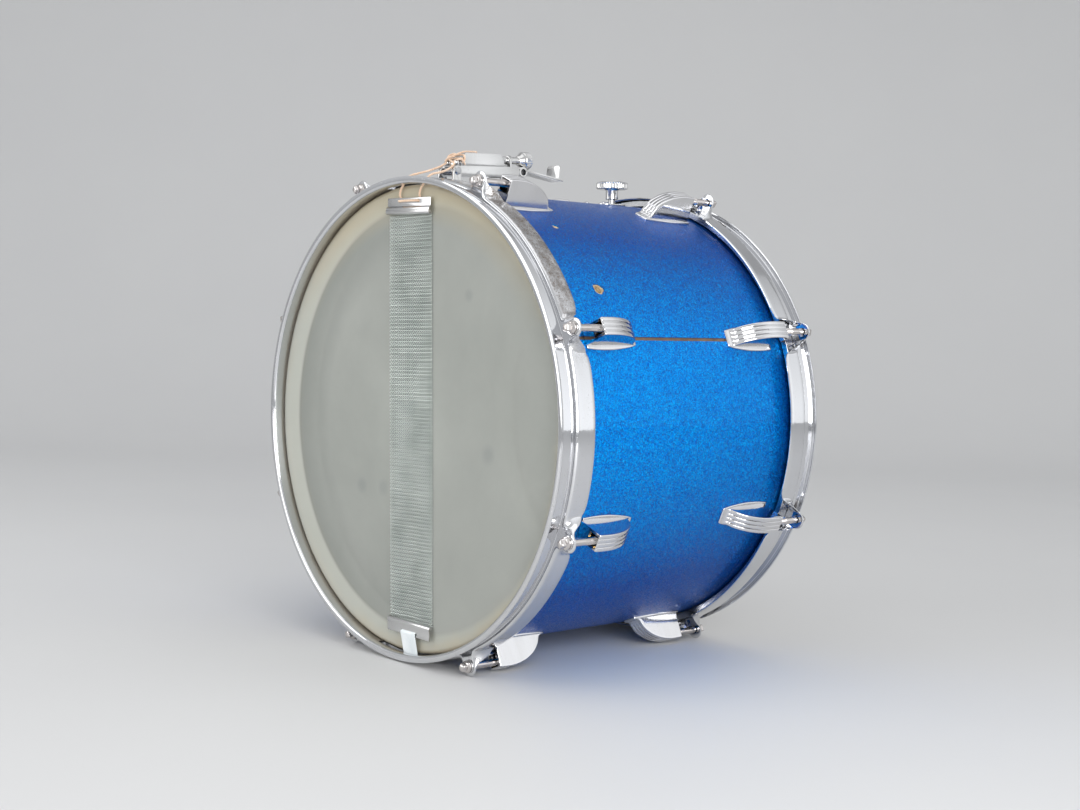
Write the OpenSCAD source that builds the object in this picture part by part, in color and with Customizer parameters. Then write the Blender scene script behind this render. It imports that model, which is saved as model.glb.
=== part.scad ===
// Parade snare drum lying on its side on its four lowest lugs.
// Drum axis along Y, snare side at -Y, batter side at +Y, strainer and tone control on top.
// Origin on the resting plane, below the centre of the shell.

/* [Shell] */
// Outer radius of the wooden shell, without the wrap
shell_r = 177; // [160:0.5:200]
// Wall thickness of the ply shell
shell_t = 5.5; // [4:0.5:8]
// Depth of the shell between its two bearing edges
shell_depth = 254; // [250:1:260]
// Thickness of the plastic wrap
wrap_t = 0.8; // [0.5:0.1:1]
// Angle of the wrap's lap seam above the horizontal
seam_angle = 22.25; // [15:0.25:29]
// Width of the open seam
seam_w = 2.6; // [0.6:0.1:3]
// Width of each reinforcement ring
ring_w = 22; // [18:1:24]

/* [Hoops] */
// Inner radius of the hoop wall
hoop_wall_r = 181; // [181:0.1:181.2]
// Outer radius of the turned-out lip
lip_r = 186.3; // [185:0.1:187]
// Distance of the lip face from the middle of the drum
lip_y = 137; // [135:0.5:138]
// Width of the snare gate cut in the snare-side hoop
gate_w = 63; // [50:1:70]

/* [Tension hardware] */
// Radius of the circle the tension rods stand on
rod_circle_r = 194.9; // [194.5:0.1:195.5]
// Radius of the rod's threaded shank
rod_r = 2.75; // [2.6:0.05:2.8]
// Highest point of the lug above the drum axis
lug_top_r = 200.3; // [200.2:0.1:201]
// Width of the lug body
lug_w = 13.4; // [13:0.1:14]
// Distance of the lug's open end from the middle of the drum
lug_end_y = 99; // [98.5:0.5:99.5]

/* [Strainer] */
// Throw-lever pivot, distance from the middle of the drum
pivot_y = -93; // [-93.5:0.5:-92.5]
// Throw-lever pivot height above the drum axis
pivot_z = 193.5; // [193.5:0.5:194]
// Rise of the closed throw lever toward its free end, in degrees
lever_rise = 3.3; // [3:0.1:3.5]
// Diameter of the knurled adjusting knob
adj_knob_d = 14.2; // [13:0.1:14.2]

/* [Snares] */
// Number of wire strands
strands = 20; // [12:1:20]
// Width over the strands
strand_span = 51; // [40:1:52]
// Lean of the strand strip from the vertical
strand_lean = 1.95; // [0:0.05:2]

/* [Tone control] */
// Position of the tone control along the axis
tone_y = 83.3; // [83:0.1:84]
// Diameter of the tone knob's disc
tone_d = 26.7; // [20:0.1:30]

/* [Hidden] */
$fn = 48;
round_fn = 360; // facets of the drum-sized rounds
rod_count = 8;
rod_step = 360 / rod_count;
first_rod = rod_step / 2;
lowest_lug = 90 - first_rod; // angle of the resting lugs below the horizontal
wrap_r = shell_r + wrap_t;
in_r = shell_r - shell_t;
half = shell_depth / 2;
axis_z = lug_top_r * sin(lowest_lug) + lug_w / 2 * cos(lowest_lug);
edge_drop = 3.5; // fall of the bearing edge to the inner wall
ear_y = 123.4; // outer face of the hoop ears
ear_t = 1.8;
lug_screw_y = [62, 92];
chrome = [0.82, 0.83, 0.85];
steel = [0.62, 0.63, 0.65];
birch = [0.86, 0.78, 0.62];
brass = "goldenrod";

// ---- Frames ----
// Drum frame: origin moves to the middle of the drum axis
module drum() translate([0, 0, axis_z]) children();
// Turns the local z axis onto +Y
module along_y() rotate([-90, 0, 0]) children();
// Turns the local +X direction to an angle above the horizontal
module at_angle(angle) rotate([0, -angle, 0]) children();
module at_rods() for (i = [0:rod_count - 1]) at_angle(first_rod + i * rod_step) children();
module on_rod() translate([rod_circle_r, 0, 0]) children();
// 1 is the batter side, -1 the snare side
module side(sign) mirror([0, sign > 0 ? 0 : 1, 0]) children();
module both_sides() for (sign = [-1, 1]) side(sign) children();

// ---- Shapes ----
module box(low, high) translate(low) cube(high - low);
// Cylinders along one axis, between two coordinates; for cyl_x, at is [y, z]
module cyl_x(radius, from, to, at) translate([from, at[0], at[1]]) rotate([0, 90, 0])
  cylinder(r = radius, h = to - from);
module cyl_y(radius, from, to) translate([0, from, 0]) along_y()
  cylinder(r = radius, h = to - from, $fn = radius > 60 ? round_fn : 48);
module cyl_z(radius, from, to) translate([0, 0, from]) cylinder(r = radius, h = to - from);
// Cylinder standing along local +X
module post(radius, from, to, y = 0) cyl_x(radius, from, to, [y, 0]);
// Pairs on both sides of x = 0; low and high are [y, z]
module twin_cyl(radius, inner, outer, at) for (x = [-outer, inner])
  cyl_x(radius, x, x + outer - inner, at);
module twin_box(inner, outer, low, high) for (x = [-outer, inner])
  box([x, low[0], low[1]], [x + outer - inner, high[0], high[1]]);
// Round bar between two points
module bar(start, end, radius) {
  span = end - start;
  length = norm(span);
  translate(start) rotate([0, acos(span[2] / length), atan2(span[1], span[0])])
    cylinder(r = radius, h = length);
}
// Turns a [radius, y] profile round the drum axis
module revolve(profile) along_y() rotate_extrude($fn = round_fn) polygon(profile);
// Slab of a [radius, y] outline, centred across local z
module slab(outline, width) translate([0, 0, -width / 2]) linear_extrude(width) polygon(outline);
// Slab of a [z, y] outline, running from x = right toward -X
module extrude_x(outline, right, width) translate([right, 0, 0]) rotate([0, -90, 0])
  linear_extrude(width) polygon(outline);
module hinge_pin(at, half_length, head_r, head_from, head_to) {
  cyl_x(2, -half_length, half_length, at);
  twin_cyl(head_r, head_from, head_to, at);
}
function reversed(list) = [for (i = [len(list) - 1:-1:0]) list[i]];

// ---- Screw positions ----
module at_strainer_screws() for (angle = [86.6, 93.4], y = [-78, -24])
  at_angle(angle) translate([0, y, 0]) children();
module at_butt_mounts() for (angle = [-88.8, -84.7])
  at_angle(angle) translate([0, -75, 0]) children();
module at_tone() translate([0, tone_y, 0]) children();
module at_tone_screws() for (y = [-10, 10]) translate([0, tone_y + y, 0]) children();
// Screw through the shell, with a head over a plate and another inside
module mount_screw(plate_t, shank_end) {
  post(2, in_r - 3, shank_end);
  post(3.2, wrap_r + plate_t + 0.05, wrap_r + plate_t + 1.6);
  post(3.2, in_r - 3, in_r - 0.2);
}

// ---- Shell ----
module wall_hole(radius, y = 0) post(radius, in_r - 4, wrap_r + 4, y);
// Holes through both shell and wrap
module hardware_holes() {
  at_rods() for (y = lug_screw_y, sign = [-1, 1]) wall_hole(2.3, sign * y);
  at_strainer_screws() wall_hole(2.1);
  at_butt_mounts() wall_hole(2.1);
  at_tone_screws() at_angle(90) wall_hole(1.6);
  at_tone() at_angle(90) wall_hole(3.4);
}
side_hole_angle = 35.3;
side_hole_y = -67;

module shell() color(birch) drum() difference() {
  revolve([[in_r, -half + edge_drop], [shell_r - 2, -half], [shell_r, -half + 1.8],
    [shell_r, half - 1.8], [shell_r - 2, half], [in_r, half - edge_drop]]);
  hardware_holes();
  at_angle(side_hole_angle) wall_hole(3.2, side_hole_y);
}

module wrap() color([0.05, 0.33, 0.75]) drum() difference() {
  along_y() difference() {
    cylinder(r = wrap_r, h = shell_depth - 5, center = true, $fn = round_fn);
    cylinder(r = shell_r, h = shell_depth, center = true, $fn = round_fn);
  }
  hardware_holes();
  at_angle(side_hole_angle) wall_hole(4.3, side_hole_y);
  // small hole in the wrap only
  at_angle(57.1) wall_hole(2, side_hole_y);
  at_angle(seam_angle) translate([wrap_r - 5, -half, -seam_w / 2])
    cube([10, shell_depth, seam_w]);
}

module reinforcement_ring(sign) {
  thickness = 5;
  edge_y = half - edge_drop;
  color(birch) drum() side(sign) revolve([[in_r - thickness, edge_y - ring_w],
    [in_r, edge_y - ring_w], [in_r, edge_y], [in_r - thickness, edge_y - thickness]]);
}
module batter_reinforcement_ring() reinforcement_ring(1);
module snare_reinforcement_ring() reinforcement_ring(-1);

// ---- Heads ----
// Flat field, collar over the bearing edge, skirt held in the flesh hoop; [radius, y]
film_profile = [[0, half], [175.1, half], [179.1, half - 3.6], [180.4, half - 5.6],
  [180.4, half - 12], [180.7, half - 12], [180.7, half - 5.4], [179.4, half - 3.3],
  [175.2, half + 0.25], [0, half + 0.25]];
module head_film(sign, shade) color(shade) drum() side(sign) revolve(film_profile);
module batter_head_film() head_film(1, [0.93, 0.93, 0.9]);
module snare_head_film() head_film(-1, [0.72, 0.73, 0.71]);

// Channel open toward the drum's end; [radius, y]
flesh_profile = [[179.3, 112.6], [184.2, 112.6], [184.2, 121.5], [183.3, 121.5],
  [183.3, 113.6], [180.2, 113.6], [180.2, 121], [179.3, 121]];
module flesh_hoop(sign) color([0.75, 0.76, 0.78]) drum() side(sign) revolve(flesh_profile);
module batter_flesh_hoop() flesh_hoop(1);
module snare_flesh_hoop() flesh_hoop(-1);

// ---- Hoops ----
skirt_r = 186.4;
// Lip, wall, shoulder and skirt; [radius, y]
hoop_profile = [[hoop_wall_r, ear_y - ear_t], [hoop_wall_r, lip_y - 0.8],
  [hoop_wall_r + 0.8, lip_y], [lip_r - 0.7, lip_y], [lip_r, lip_y - 0.7], [lip_r, lip_y - 1.6],
  [hoop_wall_r + 1.9, lip_y - 2], [hoop_wall_r + 1.7, ear_y], [skirt_r, ear_y],
  [skirt_r, 106.5], [184.8, 106.5], [184.8, ear_y - ear_t]];
// Ear at each rod; [radius, across]
ear_outline = [[184, -16], [skirt_r, -16], [190.5, -9.5], [rod_circle_r - 2, -6.8],
  [rod_circle_r - 2, 6.8], [190.5, 9.5], [skirt_r, 16], [184, 16]];

// Triple-flanged hoop with notches in the skirt and a drilled ear at each rod
module hoop() difference() {
  union() {
    difference() {
      revolve(hoop_profile);
      at_rods() box([183.5, 100, -9], [188.5, 119, 9]);
    }
    at_rods() translate([0, ear_y, 0]) rotate([90, 0, 0]) linear_extrude(ear_t) union() {
      polygon(ear_outline);
      translate([rod_circle_r - 0.9, 0]) circle(r = 6.9);
    }
  }
  at_rods() on_rod() cyl_y(3.4, 118, 127);
}
module batter_hoop() color(chrome) drum() hoop();
module snare_hoop() color(chrome) drum() difference() {
  side(-1) hoop();
  for (z = [176, -190]) translate([-gate_w / 2, -130.5, z]) cube([gate_w, 11, 14]);
}

// ---- Lugs ----
// Elliptic nose: centre and reach along the axis
nose_y = 90;
nose_r = 178;
nose_reach = 35;
nose_steps = 12;
// Inset from the lug surface at step i, deepening by extra over steps 2 to 6
function nose_inset(i, start, extra) = start + extra * min(1, max(0, (i - 2) / 4));
// Arc from the crown over the given degrees, as [radius, y]
function nose(degrees, start = 0, extra = 0) = [for (i = [0:nose_steps])
  let (angle = degrees * i / nose_steps, inset = nose_inset(i, start, extra))
    [nose_r + (lug_top_r - nose_r - inset) * cos(angle),
      nose_y - (nose_reach - inset) * sin(angle)]];

lug_outline = concat([[177, 55], [177, lug_end_y], [lug_top_r - 1, lug_end_y],
  [lug_top_r - 0.2, lug_end_y - 1.5]], nose(90));
groove_outline = concat([[lug_top_r + 4, lug_end_y + 1]], nose(82, -4),
  reversed(concat([[lug_top_r - 0.5, lug_end_y + 1]], nose(82, 0.5, 1.2))));
// One edge of the lug foot, mirrored for the other; [across, y]
foot_edge = [[9.2, lug_end_y], [10, 90], [10.3, 82], [10.1, 74], [9.4, 66], [8.6, 59.5],
  [7.6, 54], [6.4, 49.9]];
pocket_w = 8.6;

module lug_foot() intersection() {
  cyl_y(wrap_r + 1.9, 40, 110);
  translate([170, 0, 0]) rotate([0, 90, 0]) linear_extrude(14)
    polygon(concat(foot_edge, reversed([for (point = foot_edge) [-point[0], point[1]]])));
}
module lug() difference() {
  union() {
    slab(lug_outline, lug_w);
    lug_foot();
  }
  cyl_y(wrap_r, 30, 120);
  // three grooves along the crown and nose
  for (z = [-3.5, 0, 3.5]) translate([0, 0, z]) slab(groove_outline, 1.2);
  // spring pocket, open on the shell side
  box([170, 68.5, -pocket_w / 2], [191.3, 89, pocket_w / 2]);
  // nut chamber, open at the rod end
  box([188.9, 82, -pocket_w / 2], [198.7, 101, pocket_w / 2]);
  on_rod() cyl_y(3.3, 80, 101);
  post(2.1, 170, 186, lug_screw_y[0]);
  post(2.1, 170, 188, lug_screw_y[1]);
}
module batter_lugs() color(chrome) drum() at_rods() lug();
module snare_lugs() color(chrome) drum() side(-1) at_rods() lug();

module swivel_nut() on_rod() difference() {
  cyl_y(3.6, 82.5, 93.5);
  cyl_y(rod_r + 0.08, 80, 96);
}
module batter_swivel_nuts() color(brass) drum() at_rods() swivel_nut();
module snare_swivel_nuts() color(brass) drum() side(-1) at_rods() swivel_nut();

// Bent strip with both ends toward the shell; [radius, y]
clip_outline = [[178.4, 69.5], [191.1, 82.8], [191.1, 86.2], [178.4, 88.6], [178.4, 87.9],
  [190.4, 85.6], [190.4, 83.2], [178.4, 70.6]];
module lug_spring_clips() color(steel) drum() both_sides() at_rods() slab(clip_outline, 6);

module lug_screws() color(steel) drum() both_sides() at_rods() for (i = [0, 1]) {
  post(2, 168.6, [185, 187][i], lug_screw_y[i]);
  post(4, 167.9, 170.3, lug_screw_y[i]);
}
module lug_screw_washers() color(steel) drum() both_sides() at_rods() for (y = lug_screw_y)
  difference() {
    post(5.8, 170.35, 171.3, y);
    post(2.3, 169, 173, y);
  }

// ---- Tension rods ----
module rod_washers() color(chrome) drum() both_sides() at_rods() on_rod() difference() {
  cyl_y(5.3, ear_y, ear_y + 0.9);
  cyl_y(3, 120, 126);
}
// Square-headed tension rod
module rod(sign, number) color(chrome) drum() side(sign)
  at_angle(first_rod + (number - 1) * rod_step) on_rod() {
    cyl_y(rod_r, 81, 125);
    cyl_y(4.7, ear_y + 0.95, 126.6);
    intersection() {
      box([-2.9, 126.5, -2.9], [2.9, 131.4, 2.9]);
      union() {
        cyl_y(3.7, 126, 130);
        translate([0, 130, 0]) along_y() cylinder(r1 = 3.7, r2 = 2.4, h = 1.3);
      }
    }
  }
module batter_rod_1() rod(1, 1);
module batter_rod_2() rod(1, 2);
module batter_rod_3() rod(1, 3);
module batter_rod_4() rod(1, 4);
module batter_rod_5() rod(1, 5);
module batter_rod_6() rod(1, 6);
module batter_rod_7() rod(1, 7);
module batter_rod_8() rod(1, 8);
module snare_rod_1() rod(-1, 1);
module snare_rod_2() rod(-1, 2);
module snare_rod_3() rod(-1, 3);
module snare_rod_4() rod(-1, 4);
module snare_rod_5() rod(-1, 5);
module snare_rod_6() rod(-1, 6);
module snare_rod_7() rod(-1, 7);
module snare_rod_8() rod(-1, 8);

// ---- Strainer ----
pivot = [pivot_y, pivot_z];
screw_z = 203.4; // adjusting screw, in the lever frame
roll = [-23.2, 193.8]; // [y, z] of the channel's rolled end
strainer_plate_t = 1.6;
lever_wall = 1.6;
lever_half_w = 8.2;
lever_inner = lever_half_w - lever_wall;
strip_half_w = 7.6;
clamp_w = 16;

// Lever frame: the closed lever and all it carries rise about the pivot
module lever() translate([0, pivot_y, pivot_z]) rotate([lever_rise, 0, 0])
  translate([0, -pivot_y, -pivot_z]) children();
module on_screw() translate([0, 0, screw_z]) children();
module at_clamp_screws() for (x = [-5.6, 5.6]) translate([x, 0, 200.2]) children();

// Curved plate with pivot ears and a rest post
module strainer_base_plate() color(chrome) drum() difference() {
  union() {
    intersection() {
      cyl_y(wrap_r + strainer_plate_t, -120, 0);
      box([-14, -104, 150], [14, -13, 190]);
    }
    twin_box(8.6, 10.2, [pivot_y - 4, 178], [pivot_y + 4, pivot_z]);
    twin_cyl(4, 8.6, 10.2, pivot);
    box([-4.5, -38, 178], [4.5, -31, 198.6]);
  }
  cyl_y(wrap_r, -130, 10);
  cyl_x(2, -20, 20, pivot);
  at_strainer_screws() post(2.1, 170, 190);
}
module strainer_mount_screws() color(steel) drum() at_strainer_screws()
  mount_screw(strainer_plate_t, 180);
module strainer_hinge_pin() color(steel) drum() hinge_pin(pivot, 11.6, 3, 10.3, 11.6);

// Inverted U channel with side arms reaching the pivot
module lever_channel() {
  difference() {
    box([-lever_half_w, -88, 189.8], [lever_half_w, -28, 197.7]);
    box([-lever_inner, -95, 188], [lever_inner, -27, 196.1]);
  }
  twin_box(lever_inner, lever_half_w, [pivot_y, 189.8], [-87, 197.4]);
  twin_cyl(3.9, lever_inner, lever_half_w, pivot);
}
// Upright that carries the adjusting screw
module lever_upright() {
  box([-5.5, -35.5, 197.5], [5.5, -33.5, 204.2]);
  intersection() {
    translate([0, 0, 202]) cyl_y(5.5, -35.5, -33.5);
    box([-6, -36, 203.5], [6, -33, 206.9]);
  }
}
// Sloping finger strip with its turned-up, round-cornered tab
module finger_strip() translate([0, -20.5, 195.9]) rotate([-10.3, 0, 0]) union() {
  box([-strip_half_w, 0, -1.4], [strip_half_w, 41.2, 0]);
  box([-strip_half_w, 35.4, -1], [strip_half_w, 36.6, 8.8]);
  for (x = [-5.2, 5.2]) translate([x, 0, 8.6]) cyl_y(2.4, 35.4, 36.6);
  box([-5.2, 35.4, 8], [5.2, 36.6, 11]);
}
module throw_lever() color(chrome) drum() lever() difference() {
  union() {
    lever_channel();
    lever_upright();
    // rolled end of the channel
    cyl_x(4.2, -strip_half_w, strip_half_w, roll);
    box([-strip_half_w, -28.5, 196.1], [strip_half_w, roll[0], 197.7]);
    finger_strip();
  }
  cyl_x(2.08, -20, 20, pivot);
  on_screw() cyl_y(3.06, -37, -31);
  cyl_x(2.6, -20, 20, roll);
}

// [z, y]
clamp_outline = [[197.8, -88], [197.8, -43.5], [203.6, -43.5], [207.6, -47.5], [207.6, -83],
  [202, -88]];
module clamp_block() color(chrome) drum() lever() difference() {
  extrude_x(clamp_outline, clamp_w / 2, clamp_w);
  on_screw() cyl_y(3.06, -80, -30);
  at_clamp_screws() cyl_y(1.3, -95, -78);
}
module cord_clamp_plate() color(chrome) drum() lever() difference() {
  box([-clamp_w / 2, -91, 197.9], [clamp_w / 2, -89.4, 202.4]);
  at_clamp_screws() cyl_y(1.3, -95, -78);
}
module cord_clamp_screws() color(steel) drum() lever() at_clamp_screws() {
  cyl_y(1.2, -91.5, -80);
  cyl_y(2.2, -92.7, -91.05);
}
module adjusting_screw() color(steel) drum() lever() on_screw() {
  cyl_y(3, -76, -13.2);
  cyl_y(4, -33.4, -31.4);
}
// Knurled by shallow flutes round its rim
module adjusting_knob() {
  knob_r = adj_knob_d / 2;
  flutes = 24;
  color(chrome) drum() lever() on_screw() difference() {
    union() {
      cyl_y(knob_r, -18.5, -12.1);
      translate([0, -23.5, 0]) along_y() cylinder(r1 = 3.8, r2 = knob_r - 0.6, h = 5.1);
    }
    cyl_y(3.05, -30, -13);
    for (i = [0:flutes - 1]) rotate([0, i * 360 / flutes, 0])
      translate([knob_r + 0.35, 0, 0]) cyl_y(0.7, -17.8, -12.6);
  }
}

// ---- Snares ----
// Tie cord from the end plate over the snare gate to the strainer
module cord(plate_x, gate_x, clamp_x) {
  path = [[plate_x, -132.35, 168.4], [plate_x, -132.3, 171.2], [gate_x, -128.2, 182.2],
    [gate_x, -124.6, 188], [gate_x, -118, 190.2], [clamp_x, -99, 195.6]];
  for (i = [0:4]) bar(path[i], path[i + 1], 1, $fn = 24);
  for (i = [1:4]) translate(path[i]) sphere(r = 1.25, $fn = 24);
}
module snare_cords() color([0.8, 0.6, 0.45]) drum() {
  cord(-14, -10, -4);
  cord(10, 15, 4);
}
module snare_wires() color([0.7, 0.75, 0.75]) drum()
  translate([3.3, 0, 0]) rotate([0, -strand_lean, 0]) for (i = [0:strands - 1])
    translate([-strand_span / 2 + i * strand_span / (strands - 1), -128.35, 0])
      cyl_z(1, -156.6, 157.2);

// Plate with a thicker, beaded edge toward the drum axis; children are cut out as slots
module end_plate(shift_x, low, high, upper) {
  half_w = 27.4;
  band_w = 5;
  band_z = upper ? low : high - band_w;
  bead_z = upper ? low + 1.2 : high - 1.2;
  color(chrome) drum() translate([shift_x, 0, 0]) difference() {
    union() {
      box([-half_w, -131.2, low], [half_w, -129.6, high]);
      box([-half_w, -132.2, band_z], [half_w, -130.4, band_z + band_w]);
      cyl_x(1.55, -half_w, half_w, [-131, bead_z]);
    }
    children();
  }
}
module snare_end_plate_upper() end_plate(-2.2, 157.6, 170.4, true)
  for (x = [-11.8, 12.2]) box([x - 2.2, -133, 166.2], [x + 2.2, -128, 168.8]);
module snare_end_plate_lower() end_plate(9, -166, -155.6, false)
  box([-8.2, -133, -164.6], [10.4, -128, -163]);

// Woven strap from the lower end plate through the gate to the butt; [z, y]
strap_outline = [[-163.6, -131.9], [-164.2, -132.4], [-182.4, -129], [-186.6, -124],
  [-187.4, -121], [-187.4, -105.2], [-183.3, -99.5], [-183.3, -82], [-182.5, -82],
  [-182.5, -99.9], [-186.7, -105.6], [-186.7, -121.4], [-186, -123.4], [-182, -128.2],
  [-167, -131.4]];
module snare_strap() color([0.94, 0.95, 0.96]) drum() extrude_x(strap_outline, 19, 18);

// ---- Butt ----
butt_left = -7;
butt_right = 27;
butt_plate_t = 1.4;
module at_butt_screws() for (x = [-2.5, 22.5]) translate([x, -89.5, 0]) children();
module butt_base_plate() color(chrome) drum() difference() {
  union() {
    intersection() {
      cyl_y(wrap_r + butt_plate_t, -110, -60);
      box([butt_left, -103, -190], [butt_right, -69, -150]);
    }
    box([butt_left, -99, -182.4], [butt_right, -80, -174]);
  }
  cyl_y(wrap_r, -130, -50);
  at_butt_screws() cyl_z(1.6, -190, -178.5);
  at_butt_mounts() post(2.1, 170, 190);
}
module butt_clamp_plate() color(chrome) drum() difference() {
  box([butt_left, -98, -185.4], [butt_right, -81, -183.4]);
  at_butt_screws() cyl_z(1.6, -190, -178.5);
}
module butt_screws() color(steel) drum() {
  at_butt_screws() {
    cyl_z(1.5, -187.2, -178.8);
    cyl_z(3, -187.2, -185.45);
  }
  at_butt_mounts() mount_screw(butt_plate_t, 180.2);
}

// ---- Tone control: knob and shaft outside, travelling nut and pad arm inside ----
muffler_pin = [97, 148]; // [y, z]
nut_axis = [tone_y, 148]; // [y, z]
pad_z = 106;

// Shaft hole and two screw holes
module tone_holes(from, to) {
  at_tone() cyl_z(3.02, from, to);
  at_tone_screws() cyl_z(1.6, from, to);
}
module tone_knob() {
  knob_r = tone_d / 2;
  flutes = 36;
  color(chrome) drum() at_tone() difference() {
    union() {
      cyl_z(knob_r, 192, 197.8);
      cyl_z(5.35, 183.4, 192.4);
      translate([0, 0, 197.7]) cylinder(r1 = knob_r - 3, r2 = knob_r - 5, h = 0.7);
    }
    cyl_z(2.95, 180, 194);
    for (i = [0:flutes - 1]) rotate([0, 0, i * 360 / flutes])
      translate([knob_r + 0.3, 0, 0]) cyl_z(0.75, 191, 199);
  }
}
module tone_shaft() color(steel) drum() at_tone() {
  cyl_z(2.92, 138, 193.5);
  cyl_z(4.5, 167, 168.6);
}
module tone_escutcheon() color(chrome) drum() difference() {
  translate([0, tone_y, 177.9]) linear_extrude(1.5) union() {
    for (y = [-7, 7]) translate([0, y]) circle(r = 7);
    translate([-7, -7]) square(14);
  }
  tone_holes(170, 190);
}
module muffler_bracket() color(steel) drum() difference() {
  union() {
    box([-9, 62, 169], [9, 101, 170.9]);
    twin_box(7.2, 8.8, [93, muffler_pin[1]], [101, 169.5]);
    twin_cyl(4, 7.2, 8.8, muffler_pin);
  }
  cyl_x(2, -20, 20, muffler_pin);
  tone_holes(160, 180);
}
module muffler_screws() color(steel) drum() at_tone_screws() {
  cyl_z(1.5, 166, 180);
  cyl_z(2.8, 179.45, 180.75);
  cyl_z(2.8, 166, 168.9);
}
module muffler_hinge_pin() color(steel) drum() hinge_pin(muffler_pin, 9.6, 2.9, 8.9, 10.4);
module muffler_nut() color(brass) drum() difference() {
  union() {
    box([-4.6, tone_y - 4.6, 144], [4.6, tone_y + 4.6, 152]);
    cyl_x(1.5, -6.6, 6.6, nut_axis);
  }
  at_tone() cyl_z(3, 130, 170);
}
// Forked arm hung from the pin, with a round boss behind the pad
module muffler_arm() {
  inner = 5;
  outer = 6.4;
  color(steel) drum() difference() {
    union() {
      twin_box(inner, outer, [79.6, 145], [muffler_pin[0], 151]);
      twin_cyl(4, inner, outer, muffler_pin);
      box([-outer, 93, 136], [outer, 94.6, 144.8]);
      twin_box(inner, outer, [93, 136], [101, 148]);
      box([-outer, 99.4, 98], [outer, 101, 146]);
      translate([0, 0, pad_z]) cyl_y(7.5, 99.4, 111.8);
    }
    cyl_x(2.06, -20, 20, muffler_pin);
    // slots for the nut's trunnions
    twin_cyl(1.7, 3, 8, nut_axis);
    twin_box(3, 8, [tone_y - 1, 146.3], [tone_y + 1, 149.7]);
  }
}
module muffler_felt_pad() color([0.9, 0.88, 0.82]) drum()
  translate([0, 0, pad_z]) cyl_y(13, 111.85, 119.8);

shell();
wrap();
batter_reinforcement_ring();
snare_reinforcement_ring();
batter_head_film();
snare_head_film();
batter_flesh_hoop();
snare_flesh_hoop();
batter_hoop();
snare_hoop();
batter_lugs();
snare_lugs();
batter_swivel_nuts();
snare_swivel_nuts();
lug_spring_clips();
lug_screws();
lug_screw_washers();
rod_washers();
batter_rod_1();
batter_rod_2();
batter_rod_3();
batter_rod_4();
batter_rod_5();
batter_rod_6();
batter_rod_7();
batter_rod_8();
snare_rod_1();
snare_rod_2();
snare_rod_3();
snare_rod_4();
snare_rod_5();
snare_rod_6();
snare_rod_7();
snare_rod_8();
strainer_base_plate();
strainer_mount_screws();
strainer_hinge_pin();
throw_lever();
clamp_block();
cord_clamp_plate();
cord_clamp_screws();
adjusting_screw();
adjusting_knob();
snare_cords();
snare_wires();
snare_end_plate_upper();
snare_end_plate_lower();
snare_strap();
butt_base_plate();
butt_clamp_plate();
butt_screws();
tone_knob();
tone_shaft();
tone_escutcheon();
muffler_bracket();
muffler_screws();
muffler_hinge_pin();
muffler_nut();
muffler_arm();
muffler_felt_pad();
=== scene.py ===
# A snare drum standing on its side, with its hoops, lugs, rods, heads, snares and fittings.
# Shapes are in millimetres in the drum frame: the origin is the middle of the drum's axis,
# +Y runs to the batter head, -Y to the snare head, +Z is up. Angles round the drum are
# degrees from +X towards +Z. A "shape" is a pair (points, faces).
import math
from functools import partialmethod

import bmesh
import bpy
import numpy as np
from mathutils import Matrix, Vector


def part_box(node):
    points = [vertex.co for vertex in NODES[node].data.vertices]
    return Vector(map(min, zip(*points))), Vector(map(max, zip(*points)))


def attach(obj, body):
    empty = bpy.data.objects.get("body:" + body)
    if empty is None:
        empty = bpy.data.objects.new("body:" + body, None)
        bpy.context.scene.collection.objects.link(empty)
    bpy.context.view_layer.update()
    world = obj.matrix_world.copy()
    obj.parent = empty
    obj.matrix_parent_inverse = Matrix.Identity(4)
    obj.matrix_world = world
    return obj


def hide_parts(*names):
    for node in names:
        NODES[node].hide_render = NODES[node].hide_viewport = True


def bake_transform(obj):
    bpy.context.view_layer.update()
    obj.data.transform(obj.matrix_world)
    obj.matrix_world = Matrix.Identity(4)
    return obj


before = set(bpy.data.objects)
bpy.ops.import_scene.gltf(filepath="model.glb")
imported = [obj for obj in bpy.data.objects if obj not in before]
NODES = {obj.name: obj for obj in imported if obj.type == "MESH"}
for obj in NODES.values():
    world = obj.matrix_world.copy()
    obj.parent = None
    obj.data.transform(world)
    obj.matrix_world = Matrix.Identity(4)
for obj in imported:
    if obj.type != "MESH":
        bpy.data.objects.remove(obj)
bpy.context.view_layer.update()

MM = 0.001
_low, _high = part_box("batter_flesh_hoop")
AXIS_Z = (_low.z + _high.z) / 2  # height of the drum axis above the floor, metres

SHELL_R = 177.0
WRAP_R = 177.8
SEAM_ANGLE = 22.25               # where the wrap's free edges meet
ROD_R = 194.9                    # from the drum axis to a tension rod's axis
EAR_ANGLES = [22.5 + 45 * i for i in range(8)]
SIDES = ((1, "batter"), (-1, "snare"))
STRIP_LEAN = 1.95                # degrees the snare strands lean
STRIP_SHIFT = 3.3                # and how far they sit towards +X
LEVER_PIVOT = (-93.0, 193.5)     # y, z of the throw lever's hinge
LEVER_RISE = 3.3                 # degrees the lever is tipped about that hinge
ADJUSTER_Z = 203.4               # adjusting screw's axis, in the lever's own frame
TONE_Y = 83.3                    # tone control's axis, which stands along Z
rng = np.random.default_rng(7)


# ------------------------------------------------------------------ curves
def smoothstep(start, end, value):
    t = np.clip((np.asarray(value, float) - start) / (end - start), 0, 1)
    return t * t * (3 - 2 * t)


def circle(count):
    return np.linspace(0, 2 * math.pi, count, endpoint=False)


def tangents(path):
    steps = np.gradient(path, axis=0)
    return steps / np.linalg.norm(steps, axis=1)[:, None]


def normals(tangent):
    """Tangents of a flat path turned a quarter turn."""
    return np.stack([-tangent[:, 1], tangent[:, 0]], -1)


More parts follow.
